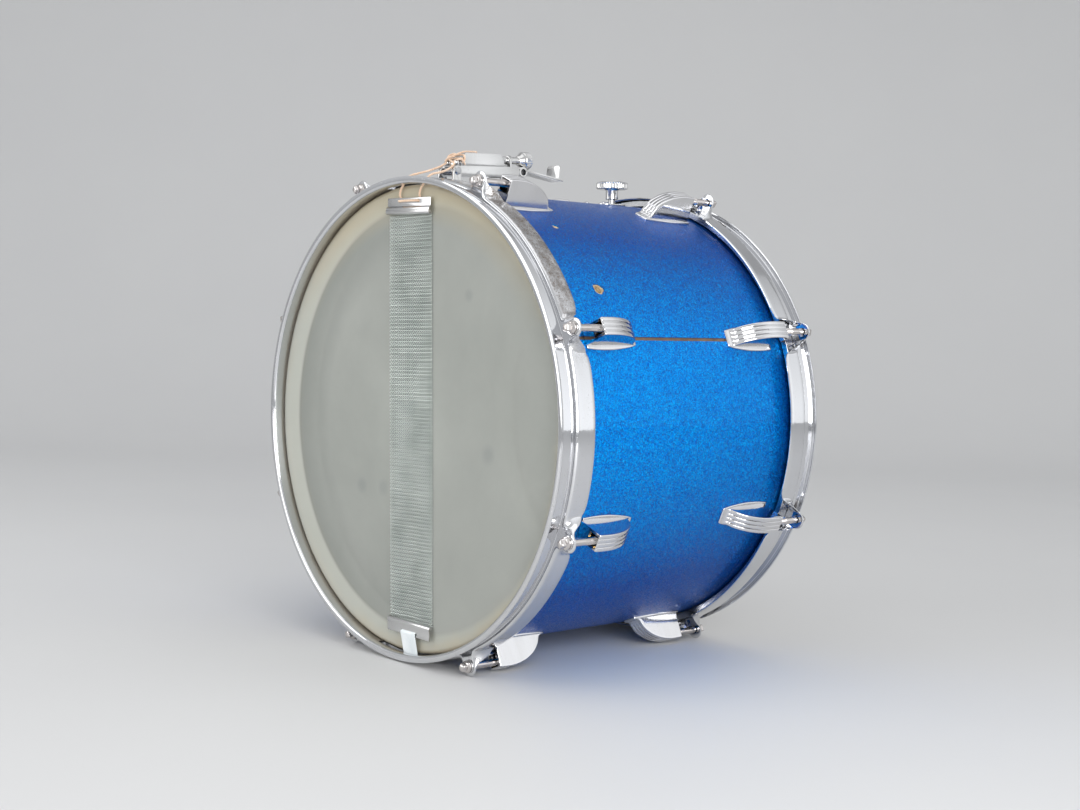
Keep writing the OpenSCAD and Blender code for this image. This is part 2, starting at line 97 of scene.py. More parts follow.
def arc(centre, radius, start, end, count):
    return [(centre[0] + radius * math.cos(math.radians(a)),
             centre[1] + radius * math.sin(math.radians(a)))
            for a in np.linspace(start, end, count)]


def frames_along(path):
    """Tangents with two cross directions that twist as little as possible."""
    along = tangents(path)
    start = np.array([0, 0, 1.0]) if abs(along[0][2]) < 0.9 else np.array([1.0, 0, 0])
    across = []
    for tangent in along:
        direction = across[-1] if across else start
        direction = direction - tangent * np.dot(direction, tangent)
        across.append(direction / np.linalg.norm(direction))
    across = np.array(across)
    return along, across, np.cross(along, across)


def spline(knots, per_span):
    """Catmull-Rom curve through the knots."""
    knots = np.asarray(knots, float)
    ends = np.vstack([2 * knots[0] - knots[1], knots, 2 * knots[-1] - knots[-2]])
    curve = []
    for k in range(1, len(ends) - 2):
        t = np.linspace(0, 1, per_span, endpoint=False)[:, None]
        p0, p1, p2, p3 = ends[k - 1:k + 3]
        curve.append(0.5 * (2 * p1 + (p2 - p0) * t + (2 * p0 - 5 * p1 + 4 * p2 - p3) * t ** 2
                            + (3 * p1 - p0 - 3 * p2 + p3) * t ** 3))
    curve.append(knots[-1:])
    return np.concatenate(curve)


def distances(path):
    return np.r_[0, np.cumsum(np.linalg.norm(np.diff(path, axis=0), axis=1))]


def resample(path, step):
    along = distances(path)
    stations = np.linspace(0, along[-1], max(2, int(along[-1] / step)))
    return np.stack([np.interp(stations, along, path[:, i]) for i in range(3)], -1)


# ------------------------------------------------------------------ shapes
def grid_faces(rows, columns, wrap_rows, wrap_columns):
    i = np.arange(rows if wrap_rows else rows - 1)[:, None]
    j = np.arange(columns if wrap_columns else columns - 1)[None, :]
    next_i, next_j = (i + 1) % rows, (j + 1) % columns
    corners = (i * columns + j, next_i * columns + j,
               next_i * columns + next_j, i * columns + next_j)
    quads = np.stack(np.broadcast_arrays(*corners), -1).reshape(-1, 4)
    return [tuple(quad) for quad in quads]


def tube_faces(rings, count):
    """Faces of a swept loop with both ends closed."""
    faces = grid_faces(rings, count, False, True)
    faces.append(tuple(range(count)))
    faces.append(tuple(range((rings - 1) * count, rings * count))[::-1])
    return faces


def skin_faces(rings, count):
    """Faces between stacked rings, wound the other way from grid_faces."""
    return [(k * count + i, k * count + (i + 1) % count,
             (k + 1) * count + (i + 1) % count, (k + 1) * count + i)
            for k in range(rings - 1) for i in range(count)]


def prism_faces(rings, count):
    last = (rings - 1) * count
    caps = [tuple(range(count))[::-1], tuple(range(last, last + count))]
    return skin_faces(rings, count) + caps


def merge(shapes):
    points, faces, offset = [], [], 0
    for part_points, part_faces in shapes:
        points.append(np.asarray(part_points, float))
        faces += [tuple(int(i) + offset for i in face) for face in part_faces]
        offset += len(part_points)
    return np.concatenate(points), faces


def rotated(points, degrees, axes=(0, 2), pivot=(0.0, 0.0)):
    """Points turned in the plane of two axes, the first axis towards the second."""
    angle = math.radians(degrees)
    points = np.array(points, float)
    first, second = axes
    u, v = points[:, first] - pivot[0], points[:, second] - pivot[1]
    points[:, first] = pivot[0] + u * math.cos(angle) - v * math.sin(angle)
    points[:, second] = pivot[1] + u * math.sin(angle) + v * math.cos(angle)
    return points


def rotate(shape, degrees, **options):
    return rotated(shape[0], degrees, **options), shape[1]


def shift(shape, offset):
    return shape[0] + np.asarray(offset), shape[1]


def mirror(shape):
    """The shape on the other side of the drum's middle plane."""
    points = np.array(shape[0], float)
    points[:, 1] *= -1
    return points, [tuple(face[::-1]) for face in shape[1]]


def aim(shape, origin, axis):
    """Moves a +Y part so that it starts at the origin given and points along the axis."""
    points = np.asarray(shape[0], float)
    y = np.array(axis, float)
    y /= np.linalg.norm(y)
    up = np.array([0, 0, 1.0]) if abs(y[2]) < 0.9 else np.array([1.0, 0, 0])
    x = np.cross(y, up)
    x /= np.linalg.norm(x)
    z = np.cross(x, y)
    moved = np.asarray(origin, float) + points[:, :1] * x + points[:, 1:2] * y + points[:, 2:3] * z
    return moved, shape[1]


def at_ears(shape, side):
    """A copy of the shape at each ear, on the batter (1) or snare (-1) side."""
    copies = merge([rotate(shape, angle) for angle in EAR_ANGLES])
    return copies if side > 0 else mirror(copies)


def from_lever(shape):
    """From the throw lever's own frame, square to its channel, to the drum frame."""
    return rotate(shape, LEVER_RISE, axes=(1, 2), pivot=LEVER_PIVOT)


def stand_up(points, z=0.0):
    """Points of a +Y part set along +Z on the tone control's axis."""
    return np.stack([points[:, 0], TONE_Y + points[:, 2], z + points[:, 1]], -1)


def box(low, high):
    corners = list(zip(low, high))
    points = np.array([[x, y, z] for x in corners[0] for y in corners[1] for z in corners[2]],
                      float)
    faces = [(0, 1, 3, 2), (4, 6, 7, 5), (0, 4, 5, 1), (2, 3, 7, 6), (0, 2, 6, 4), (1, 5, 7, 3)]
    return points, faces


def ring(profile, segments):
    """A closed (radius, y) outline turned about Y."""
    profile = np.array(profile, float)
    angles = circle(segments)
    points = np.stack([np.outer(np.cos(angles), profile[:, 0]),
                       np.broadcast_to(profile[:, 1], (segments, len(profile))),
                       np.outer(np.sin(angles), profile[:, 0])], -1).reshape(-1, 3)
    return points, grid_faces(segments, len(profile), True, True)


def turned(profile, segments, radius_at=None):
    """A solid turned about Y from (radius, y) pairs; radius_at(angles, radius, y) reshapes it."""
    angles = circle(segments)
    rings = []
    for radius, y in profile:
        radii = np.full(segments, radius)
        if radius_at is not None:
            radii = radius_at(angles, radius, y)
        rings.append(np.stack([radii * np.cos(angles), np.full(segments, y),
                               radii * np.sin(angles)], -1))
    points = np.concatenate(rings + [[[0, profile[0][1], 0], [0, profile[-1][1], 0]]])
    faces = skin_faces(len(profile), segments)
    first_pole = len(profile) * segments
    last = first_pole - segments
    for i in range(segments):
        j = (i + 1) % segments
        faces.append((first_pole, j, i))
        faces.append((first_pole + 1, last + i, last + j))
    return points, faces


def thread(start, end, pitch, crest, root, steps):
    """(radius, y) of a screw thread as plain ridges; steps are the y of the turns in one."""
    profile = []
    y = start
    while y < end:
        profile += [(crest, y), (crest, y + steps[0]), (root, y + steps[1]), (root, y + steps[2])]
        y += pitch
    return profile + [(crest, y)]


def sweep(path, radius, segments):
    """Round rod along a path."""
    _, across, beside = frames_along(path)
    angles = circle(segments)
    points = path[:, None, :] + radius * (np.cos(angles)[None, :, None] * across[:, None, :]
                                          + np.sin(angles)[None, :, None] * beside[:, None, :])
    return points.reshape(-1, 3), tube_faces(len(path), segments)


def sheet_outline(path, half, tip_back=0.7, tip_out=0.7, side=1):
    """Outline of bent sheet along a flat path, with rounded ends; half is half its thickness."""
    path = np.array(path, float)
    along = tangents(path)
    out = side * normals(along)

    def tip(i, direction, first):
        corner = path[i] + direction * along[i] * half * tip_back
        spread = out[i] * half * tip_out
        return np.array([corner + first * spread, path[i] + direction * along[i] * half,
                         corner - first * spread])

    return np.concatenate([tip(0, -1, -1), path + out * half,
                           tip(-1, 1, 1), (path - out * half)[::-1]])


def extrude_x(outline, x_start, x_end, ease):
    """Solid from an outline in (y, z) run along X, with eased end faces."""
    outline = np.array(outline, float)
    y, z = outline[:, 0], outline[:, 1]
    if 0.5 * np.sum(y * np.roll(z, -1) - np.roll(y, -1) * z) < 0:
        outline = outline[::-1]
    along = np.roll(outline, -1, 0) - np.roll(outline, 1, 0)
    along /= np.linalg.norm(along, axis=1)[:, None]
    inward = normals(along)
    rings = []
    for x, inset in ((x_start, ease), (x_start + ease * 0.3, ease * 0.3), (x_start + ease, 0),
                     (x_end - ease, 0), (x_end - ease * 0.3, ease * 0.3), (x_end, ease)):
        section = outline + inward * inset
        rings.append(np.stack([np.full(len(outline), x), section[:, 0], section[:, 1]], -1))
    return np.concatenate(rings), prism_faces(6, len(outline))


# ------------------------------------------------------------------ objects
def finish_mesh(obj, angle, recalc=True):
    """Smooth shading, sharp where faces meet at more than the angle."""
    if recalc:
        mesh = bmesh.new()
        mesh.from_mesh(obj.data)
        bmesh.ops.recalc_face_normals(mesh, faces=mesh.faces)
        mesh.to_mesh(obj.data)
        mesh.free()
    obj.data.shade_smooth()
    obj.data.set_sharp_from_angle(angle=math.radians(angle))


def new_object(name, shape, angle=35.0):
    points = np.array(shape[0], float) * MM
    points[:, 2] += AXIS_Z
    mesh = bpy.data.meshes.new(name)
    mesh.from_pydata(points.tolist(), [], [tuple(int(i) for i in face) for face in shape[1]])
    mesh.validate()
    mesh.update()
    obj = bpy.data.objects.new(name, mesh)
    bpy.context.scene.collection.objects.link(obj)
    finish_mesh(obj, angle)
    return obj


def place(obj, material, slot, replaces=None, body="root"):
    obj.data.materials.clear()
    obj.data.materials.append(material)
    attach(obj, body)
    if replaces:
        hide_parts(replaces)


def add(name, shape, angle, *placing, **options):
    place(new_object(name, shape, angle), *placing, **options)


def apply_modifiers(obj):
    depsgraph = bpy.context.evaluated_depsgraph_get()
    depsgraph.update()
    mesh = bpy.data.meshes.new_from_object(obj.evaluated_get(depsgraph))
    obj.modifiers.clear()
    old = obj.data
    obj.data = mesh
    bpy.data.meshes.remove(old)


def cut(obj, cutter_shape):
    cutter = new_object("tmp_cutter", cutter_shape)
    modifier = obj.modifiers.new("cut", "BOOLEAN")
    modifier.operation = "DIFFERENCE"
    modifier.object = cutter
    modifier.solver = "EXACT"
    apply_modifiers(obj)
    bpy.data.objects.remove(cutter)


def close_holes(obj):
    mesh = bmesh.new()
    mesh.from_mesh(obj.data)
    bmesh.ops.remove_doubles(mesh, verts=mesh.verts, dist=1e-7)
    bmesh.ops.holes_fill(mesh, edges=[e for e in mesh.edges if e.is_boundary], sides=0)
    bmesh.ops.recalc_face_normals(mesh, faces=mesh.faces)
    mesh.to_mesh(obj.data)
    mesh.free()


def carve(shape, *cutters, close=False):
    """The shape with each cutter taken away; close fills its open ends first."""
    obj = new_object("tmp_carved", shape)
    if close:
        close_holes(obj)
    for cutter in cutters:
        cut(obj, cutter)
    points = np.zeros(len(obj.data.vertices) * 3)
    obj.data.vertices.foreach_get("co", points)
    points = points.reshape(-1, 3)
    points[:, 2] -= AXIS_Z
    faces = [tuple(polygon.vertices) for polygon in obj.data.polygons]
    bpy.data.objects.remove(obj)
    return points / MM, faces


def soften(node, name, width):
    """A copy of a CAD node with flat faces merged and edges rolled over."""
    mesh = NODES[node].data.copy()
    mesh.name = name
    work = bmesh.new()
    work.from_mesh(mesh)
    bmesh.ops.remove_doubles(work, verts=work.verts, dist=0.002 * MM)
    bmesh.ops.dissolve_limit(work, angle_limit=math.radians(0.6), verts=work.verts,
                             edges=work.edges)
    work.to_mesh(mesh)
    work.free()
    obj = bpy.data.objects.new(name, mesh)
    bpy.context.scene.collection.objects.link(obj)
    bevel = obj.modifiers.new("bevel", "BEVEL")
    bevel.width = width * MM
    bevel.segments = 2
    bevel.limit_method = "ANGLE"
    bevel.angle_limit = math.radians(30.0)
    bevel.use_clamp_overlap = True
    bevel.miter_outer = "MITER_ARC"
    apply_modifiers(obj)
    finish_mesh(obj, 32, recalc=False)
    return obj


# ------------------------------------------------------------------ shader nodes
def rgb(code):
    """Linear RGBA from an sRGB hex code."""
    channels = [int(code[i:i + 2], 16) / 255 for i in (1, 3, 5)]
    return (*[v / 12.92 if v <= 0.04045 else ((v + 0.055) / 1.055) ** 2.4 for v in channels], 1)


class Wire:
    """A node's output. Arithmetic on it adds Math nodes."""

    def __init__(self, nodes, socket):
        self.nodes = nodes
        self.socket = socket

    def calc(self, operation, other=0.0, swap=False):
        first, second = (other, self) if swap else (self, other)
        return self.nodes.node("Math", {0: first, 1: second}, operation=operation)

    __add__ = partialmethod(calc, "ADD")
    __radd__ = partialmethod(calc, "ADD", swap=True)
    __sub__ = partialmethod(calc, "SUBTRACT")
    __rsub__ = partialmethod(calc, "SUBTRACT", swap=True)
    __mul__ = partialmethod(calc, "MULTIPLY")
    __pow__ = partialmethod(calc, "POWER")
    __gt__ = partialmethod(calc, "GREATER_THAN")
    __lt__ = partialmethod(calc, "LESS_THAN")
    __abs__ = partialmethod(calc, "ABSOLUTE")

    def vector(self, operation, other=(0, 0, 0), output="Vector", **inputs):
        return self.nodes.node("VectorMath", {0: self, 1: other, **inputs}, output,
                               operation=operation)

    def fade(self, start, end, low=0.0, high=1.0):
        """Goes from low to high while the value goes from start to end."""
        return self.nodes.node("MapRange", {"Value": self, "From Min": start, "From Max": end,
                                            "To Min": low, "To Max": high}, clamp=True)

    def split(self, kind):
        """The three parts of a vector ("XYZ") or a colour ("Color")."""
        node = self.nodes.node("Separate" + kind, {0: self}).socket.node
        return [Wire(self.nodes, socket) for socket in node.outputs]

    def ramp(self, stops):
        wire = self.nodes.node("ValToRGB", {"Fac": self}, "Color")
        elements = wire.socket.node.color_ramp.elements
        while len(elements) < len(stops):
            elements.new(0.5)
        for element, (position, code) in zip(elements, stops):
            element.position = position
            element.color = rgb(code)
        return wire

    def bump(self, strength, distance, over=None):
        inputs = {"Height": self, "Strength": strength, "Distance": distance}
        if over is not None:
            inputs["Normal"] = over
        return self.nodes.node("Bump", inputs)


class Nodes:
    """A node tree under construction."""

    def __init__(self, tree):
        self.tree = tree

    def put(self, socket, value):
        """Feeds a socket from a wire, a hex colour or a plain value."""
        if isinstance(value, Wire):
            self.tree.links.new(value.socket, socket)
        else:
            socket.default_value = rgb(value) if isinstance(value, str) else value

    def node(self, kind, inputs, output=0, **settings):
        node = self.tree.nodes.new("ShaderNode" + kind)
        for name, value in settings.items():
            setattr(node, name, value)
        for key, value in inputs.items():
            self.put(node.inputs[key], value)
        return Wire(self, node.outputs[output])


class Mat(Nodes):
    def __init__(self, name):
        self.material = bpy.data.materials.new(name)
        self.material.use_nodes = True
        super().__init__(self.material.node_tree)
        self.shader = self.tree.nodes["Principled BSDF"]
        self.pos = self.node("TexCoord", {}, "Object")

    def set(self, **inputs):
        for name, value in inputs.items():
            self.put(self.shader.inputs[name.replace("_", " ")], value)

    def noise(self, scale, detail=4, rough=0.6, at=None, warp=0.0):
        """Noise of a scale in cells per metre, sampled at the object position or at `at`."""
        return self.node("TexNoise", {"Scale": scale, "Detail": detail, "Roughness": rough,
                                      "Distortion": warp, "Vector": at or self.pos}, "Fac")

    def stretched(self, *factors):
        return self.pos.vector("MULTIPLY", factors)

    def mix(self, factor, first, second):
        return self.node("Mix", {0: factor, 6: first, 7: second}, 2, data_type="RGBA")

    def coords(self, axes="xyz"):
        """The drum-frame position in millimetres, only the axes asked for."""
        parts = dict(zip("xyz", self.pos.split("XYZ")))
        if "z" in axes:
            parts["z"] = parts["z"] - AXIS_Z
        return [parts[axis] * (1 / MM) for axis in axes]

    def radius(self):
        """Distance from the drum axis in millimetres."""
        x, z = self.coords("xz")
        return (x * x + z * z).calc("SQRT")


# ------------------------------------------------------------------ materials
def metal(name, rough, tint, pits, grime, seed, brushed=0.0):
    """Plated or bare metal. pits, grime: how much of each; seed: moves the pattern."""
    mat = Mat(name)
    spot = mat.pos.vector("ADD", (seed, seed * 1.7, -seed))
    cloud = mat.noise(38, at=spot)
    fine = mat.noise(520, detail=3, at=spot)
    smear = mat.noise(9, detail=5, rough=0.65, at=spot.vector("MULTIPLY", (1, 3.2, 1)), warp=0.6)
    specks = mat.noise(900, detail=2, rough=0.5, at=spot)
    patch = mat.noise(24, detail=3, at=spot).fade(0.5, 0.68)
    pit = specks.fade(0.70 - 0.10 * pits, 0.76 - 0.08 * pits) * (patch * 0.9 + 0.1)
    pit = pit * min(1.0, pits * 2.2)
    base = mat.mix(smear.fade(0.42, 0.72) * (grime * 0.55), tint, "#a9a49c")
    sheen = (cloud.fade(0.35, 0.75, low=rough, high=rough + 0.07)
             + smear.fade(0.45, 0.75) * (0.12 * grime))
    if brushed:
        lines = mat.noise(1400, detail=2, rough=0.5, at=spot.vector("MULTIPLY", (1, 0.04, 1)))
        height = lines * brushed + fine * 0.4
    else:
        height = fine * 0.35 + cloud * 0.25
    surface = height.bump(strength=0.035, distance=0.0006)
    mat.set(Base_Color=mat.mix(pit, base, "#5b4636"), Metallic=pit.fade(0, 1, low=1.0, high=0.35),
            Roughness=sheen + pit * 0.45,
            Normal=(pit * -1.0).bump(strength=0.35, distance=0.0002, over=surface))
    return mat.material


def hoop_chrome():
    """Chrome worn and pitted on the upper +X stretch of the snare-side hoop's skirt."""
    mat = Mat("chrome_hoop")
    x, y, z = mat.coords()
    cloud = mat.noise(30)
    smear = mat.noise(8, detail=5, rough=0.65, warp=0.7)
    fine = mat.noise(480, detail=3)
    specks = mat.noise(1050, detail=3)
    angle = z.calc("ARCTAN2", x)
    stretch = angle.fade(0.25, 0.6) * angle.fade(1.5, 1.15)
    worn = stretch * abs(y).fade(122.5, 120.5) * y.fade(20, -20)
    dull = worn * mat.noise(170, rough=0.65).fade(0.36, 0.60)
    sparse = specks.fade(0.66, 0.72) * mat.noise(20, detail=3).fade(0.5, 0.66, low=0.12)
    dense = specks.fade(0.54, 0.60) * worn
    pit = (sparse * 0.8).calc("MAXIMUM", dense * 0.9)
    base = mat.mix(smear.fade(0.42, 0.75) * 0.25, "#d9dadd", "#b6b2ab")
    base = mat.mix(dull * 0.75, base, "#7d7670")
    surface = (fine * 0.3 + cloud * 0.8).bump(strength=0.03, distance=0.0008)
    mat.set(Base_Color=mat.mix(pit, base, "#5a4a3e"), Metallic=pit.fade(0, 1, low=1.0, high=0.3),
            Roughness=cloud.fade(0.35, 0.75, low=0.035, high=0.10) + pit * 0.5 + dull * 0.3,
            Normal=((pit + dull * 0.5) * -1.0).bump(strength=0.4, distance=0.0002, over=surface))
    return mat.material


def sparkle_wrap():
    """Metal flakes under a clear coat."""
    mat = Mat("sparkle_wrap")
    jitter = mat.node("TexNoise", {"Vector": mat.pos, "Scale": 700.0}, "Color")
    spot = mat.pos.vector("ADD", jitter.vector("SCALE", Scale=0.0006))
    flake = mat.node("TexVoronoi", {"Vector": spot, "Scale": 1450.0}, "Color")
    clump = mat.node("TexVoronoi", {"Vector": spot, "Scale": 520.0}, "Color")
    shade, _, gloss = flake.split("Color")
    clump_shade = clump.split("Color")[1]
    tone = 0.17 + (shade * 0.55 + clump_shade * 0.16)
    colour = tone.ramp([(0.0, "#00449a"), (0.3, "#006ccc"), (0.6, "#0092ec"),
                        (0.84, "#00b2fc"), (1.0, "#50daff")])
    colour = mat.mix(mat.noise(60).fade(0.35, 0.7, high=0.12), colour, "#0462c4")
    # faint scuffs and stains
    stain = mat.noise(14, detail=5, rough=0.65, warp=0.4).fade(0.62, 0.74) * 0.22
    colour = mat.mix(stain, colour, "#1b5d8e")
    # painted shade, partly the flakes' colour flop: deeper blue at glancing angles darkens the top
    # and bottom of the shell
    facing = mat.node("LayerWeight", {"Blend": 0.5}, "Facing")
    glancing_shade = facing.fade(0.30, 0.60) * shade.fade(0.0, 1.0, low=0.92, high=0.70)
    # each flake tilts its own way
    lean = flake.vector("SUBTRACT", (0.5, 0.5, 0.5)).vector("SCALE", Scale=0.62)
    tilt = mat.node("NewGeometry", {}, "Normal").vector("ADD", lean).vector("NORMALIZE")
    scratches = mat.noise(2600, detail=1, rough=0.5, at=mat.stretched(1, 0.02, 1))
    coat = mat.noise(55, detail=2, rough=0.5) + scratches * 0.02
    mat.set(Base_Color=mat.mix(glancing_shade, colour, "#003a9a"), Normal=tilt, Metallic=0.86,
            Roughness=gloss.fade(0, 1, low=0.30, high=0.50), Specular_IOR_Level=0.05,
            Coat_Weight=0.20, Coat_IOR=1.28,
            Coat_Roughness=mat.noise(22).fade(0.4, 0.75, low=0.03, high=0.10),
            Coat_Normal=coat.bump(strength=0.10, distance=0.0011))
    return mat.material


def ply_shell():
    """Bare plies at the edges, paint inside, glue showing outside at the wrap's seam."""
    mat = Mat("ply_shell")
    radius = mat.radius()
    x, y, z = mat.coords()
    grain = mat.noise(420, detail=5, rough=0.65, at=mat.stretched(1.0, 0.08, 1.0), warp=1.2)
    ply = ((radius + 0.3) * 0.55).calc("FRACT")
    wood = grain.ramp([(0.3, "#ab9270"), (0.5, "#cfb78f"), (0.75, "#e0cda8")])
    wood = mat.mix((ply > 0.5) * 0.35, wood, "#7a5636")
    edge = abs(y) > 122.0
    glue = mat.mix(mat.noise(90, rough=0.55).fade(0.3, 0.7), "#4f3c30", "#77604b")
    from_seam = abs(z.calc("ARCTAN2", x) - math.radians(SEAM_ANGLE))
    wood = mat.mix((radius > SHELL_R - 0.5) * from_seam.fade(0.03, 0.02), wood, glue)
    paint = mat.mix(mat.noise(35).fade(0.3, 0.75), "#b9bab4", "#a5a59c")
    mat.set(Base_Color=mat.mix((radius < 171.9) * (1.0 - edge), wood, paint),
            Roughness=grain.fade(0.2, 0.8, low=0.5, high=0.75),
            Normal=grain.bump(strength=0.25, distance=0.0003))
    return mat.material


def ring_wood():
    """Reinforcement ring: bare edge, painted inner face."""
    mat = Mat("ring_wood")
    grain = mat.noise(300, detail=5, rough=0.65, at=mat.stretched(0.3, 1.0, 0.3), warp=0.8)
    wood = grain.ramp([(0.3, "#b9a27c"), (0.55, "#d3c09c"), (0.8, "#e2d4b6")])
    paint = mat.mix(mat.noise(35).fade(0.3, 0.75), "#f2f2ec", "#e6e5dc")
    (y,) = mat.coords("y")
    mat.set(Base_Color=mat.mix(abs(y).fade(117.5, 118.5), paint, wood), Roughness=0.6,
            Normal=grain.bump(strength=0.2, distance=0.0003))
    return mat.material


# darker round spots on the snare film: x, z, radius
DARK_SPOTS = ((-62, -57, 8), (-33, -56, 8), (96, -20, 9), (70, 96, 6))


def snare_film():
    """Hazy, translucent, yellowed at the rim."""
    mat = Mat("snare_film")
    radius = mat.radius()
    x, z = mat.coords("xz")
    body = mat.mix(mat.noise(7, detail=5, warp=0.3).fade(0.3, 0.7), "#a9aca7", "#b9bbb6")
    # painted shade and painted light: a grey band for the shade on the shell's inner wall and a pale
    # ring for the lit reinforcement ring, as seen through the film, both centred 9 mm towards +X
    off = x - 9.0
    off_radius = (off * off + z * z).calc("SQRT")
    painted_inner_shade = off_radius.fade(120, 158) * off_radius.fade(166, 163) * (x.fade(40, -90) * 0.55)
    body = mat.mix(painted_inner_shade, body, "#868a86")
    painted_ring_light = off_radius.fade(163.0, 167.0) * x.fade(140, -20, low=0.25)
    body = mat.mix(painted_ring_light * 0.7, body, "#d6d9d2")
    # yellowing that varies round the rim
    outward = mat.pos.vector("SUBTRACT", (0, 0, AXIS_Z)).vector("MULTIPLY", (1, 0, 1))
    varied = mat.noise(5.5, detail=3, at=outward.vector("NORMALIZE"))
    yellow = radius.fade(168, 178, high=0.55) + (varied - 0.5) * 1.1
    yellow = yellow.calc("MAXIMUM") * (radius.fade(164, 175) * x.fade(-150, 20, low=0.25))
    body = mat.mix(yellow.calc("MINIMUM", 1.0) * 0.8, body, "#ded0b2")
    body = mat.mix(z.fade(70, 150) * radius.fade(150, 170) * 0.45, body, "#cdbd98")
    body = mat.mix(radius.fade(177.2, 179.6) * 0.5, body, "#a58f6c")
    dark_spot = None
    for spot_x, spot_z, size in DARK_SPOTS:
        away = (abs(x - spot_x) ** 2.0 + abs(z - spot_z) ** 2.0).calc("SQRT")
        spot = away.fade(size, size * 0.35)
        dark_spot = spot if dark_spot is None else dark_spot.calc("MAXIMUM", spot)
    body = mat.mix(dark_spot * 0.3, body, "#8b9192")
    # painted shadow of the strands: the film darker in the strip under them
    strip_x = x + z * math.tan(math.radians(STRIP_LEAN)) - STRIP_SHIFT
    under = abs(strip_x).fade(27.0, 25.0) * abs(z).fade(160.0, 157.0)
    body = mat.mix(under * 0.55, body, "#5f6868")
    height = mat.noise(600, detail=3) * 0.12 + mat.noise(18, detail=2, rough=0.5)
    mat.set(Base_Color=body, Roughness=mat.noise(16).fade(0.3, 0.75, low=0.32, high=0.46),
            IOR=1.45, Normal=height.bump(strength=0.05, distance=0.001))
    translucent = mat.node("BsdfTranslucent", {"Color": body})
    hazy = mat.node("MixShader", {0: 0.16, 1: Wire(mat, mat.shader.outputs[0]), 2: translucent})
    clear = mat.node("BsdfTransparent", {"Color": (0.93, 0.94, 0.93, 1)})
    clarity = mat.noise(5).fade(0.3, 0.7, low=0.36, high=0.42)
    film = mat.node("MixShader", {0: clarity, 1: hazy, 2: clear})
    mat.put(mat.tree.nodes["Material Output"].inputs["Surface"], film)
    return mat.material


def batter_film():
    """Sprayed coating with stick marks."""
    mat = Mat("batter_film")
    radius = mat.radius()
    grit = mat.noise(1500, detail=3, rough=0.7)
    wear = radius.fade(95, 20) * mat.noise(60, detail=5, rough=0.7, warp=0.5).fade(0.42, 0.66)
    sticks = mat.noise(150, rough=0.7, at=mat.stretched(0.35, 1, 1.5), warp=0.8)
    marks = sticks.fade(0.6, 0.68) * radius.fade(130, 40, low=0.05, high=0.6)
    body = mat.mix(mat.noise(6, detail=5).fade(0.3, 0.7), "#e3e2dc", "#d6d4cb")
    body = mat.mix(wear * 0.35, body, "#a6a49c")
    body = mat.mix(marks, body, "#8d8a82")
    body = mat.mix(radius.fade(168, 176, high=0.5), body, "#cfc3a2")
    mat.set(Base_Color=body, Roughness=wear.fade(0, 1, low=0.72, high=0.4),
            Normal=(grit - marks * 0.6).bump(strength=0.35, distance=0.00025))
    return mat.material


def snare_wire():
    mat = Mat("snare_wire")
    cloud = mat.noise(60, rough=0.55).fade(0.4, 0.7)
    gloss = mat.noise(900, detail=3, rough=0.55)
    mat.set(Base_Color=mat.mix(cloud, "#d9dfdb", "#bcc3bf"), Metallic=0.6,
            Roughness=gloss.fade(0.3, 0.7, low=0.30, high=0.42))
    return mat.material


def cord_fibre():
    mat = Mat("cord_fibre")
    fibre = mat.noise(2600, detail=3)
    tone = fibre * 0.6 + mat.noise(130, detail=3) * 0.4
    mat.set(Base_Color=mat.mix(tone.fade(0.3, 0.7), "#c79d7c", "#f2dcc4"), Roughness=0.75,
            Sheen_Weight=0.4, Normal=fibre.bump(strength=0.5, distance=0.0002))
    return mat.material


def strap_weave():
    mat = Mat("strap_weave")
    x, y, z = mat.coords()
    wave_number = 2 * math.pi / 0.9  # one weave cell is 0.9 mm
    weave = (x * wave_number).calc("SINE") * ((z - y) * wave_number).calc("SINE")
    tone = (weave * 0.25 + mat.noise(90, rough=0.55)).fade(0.2, 0.9)
    mat.set(Base_Color=mat.mix(tone, "#d3dce0", "#f4f7f8"), Roughness=0.8, Sheen_Weight=0.3,
            Normal=weave.bump(strength=0.5, distance=0.0002))
    return mat.material


def wool_felt():
    mat = Mat("wool_felt")
    fuzz = mat.noise(900, detail=6, rough=0.75, warp=1.0)
    mat.set(Base_Color=mat.mix(fuzz.fade(0.3, 0.7), "#b9b3a4", "#e2ddd0"), Roughness=0.95,
            Sheen_Weight=0.6, Normal=fuzz.bump(strength=0.8, distance=0.0005))
    return mat.material


def studio_grey():
    mat = Mat("studio_floor")
    tone = mat.noise(3, detail=3, rough=0.55)
    mat.set(Base_Color=mat.mix(tone, (0.60, 0.60, 0.605, 1), (0.63, 0.63, 0.63, 1)), Roughness=0.6)
    return mat.material


LUG_CHROME = metal("chrome_lug", rough=0.075, tint="#dcdcde", pits=0.18, grime=0.3, seed=0.31)
ROD_CHROME = metal("chrome_rod", rough=0.10, tint="#cfcac8", pits=0.5, grime=0.5, seed=0.77)
CHROME = metal("chrome_small", rough=0.13, tint="#d2d2d2", pits=0.3, grime=0.5, seed=0.15)
ZINC = metal("zinc_plate", rough=0.24, tint="#b4b5b8", pits=0.3, grime=0.6, seed=0.52)
ALUMINIUM = metal("mill_aluminium", rough=0.2, tint="#c3c4c6", pits=0.05, grime=0.5, seed=0.9,
                  brushed=1.0)
BRASS = metal("turned_brass", rough=0.2, tint="#c7a15c", pits=0.1, grime=0.4, seed=0.2)
HOOP_CHROME = hoop_chrome()
CORD = cord_fibre()

# ------------------------------------------------------------------ counter hoops
HOOP_WALL_R = 181.85  # middle of the steel in the upright wall
HOOP_BEND_R = 1.4
HOOP_FOLD_R = 1.7     # where the flange folds down between the ears
# free length of the flange against the distance round the hoop from an ear's middle
FLANGE_AT = [0.0, 1.5, 3.0, 4.2, 5.2, 6.0, 6.8, 7.6, 8.8, 10.5, 12.5, 15.0, 18.5, 24.0, 36.0, 90.0]
FLANGE_LENGTH = [16.7, 16.55, 16.05, 15.3, 14.2, 12.8, 11.2, 9.8, 8.7, 8.6, 9.8, 11.8, 13.6, 14.5,
                 14.6, 14.6]
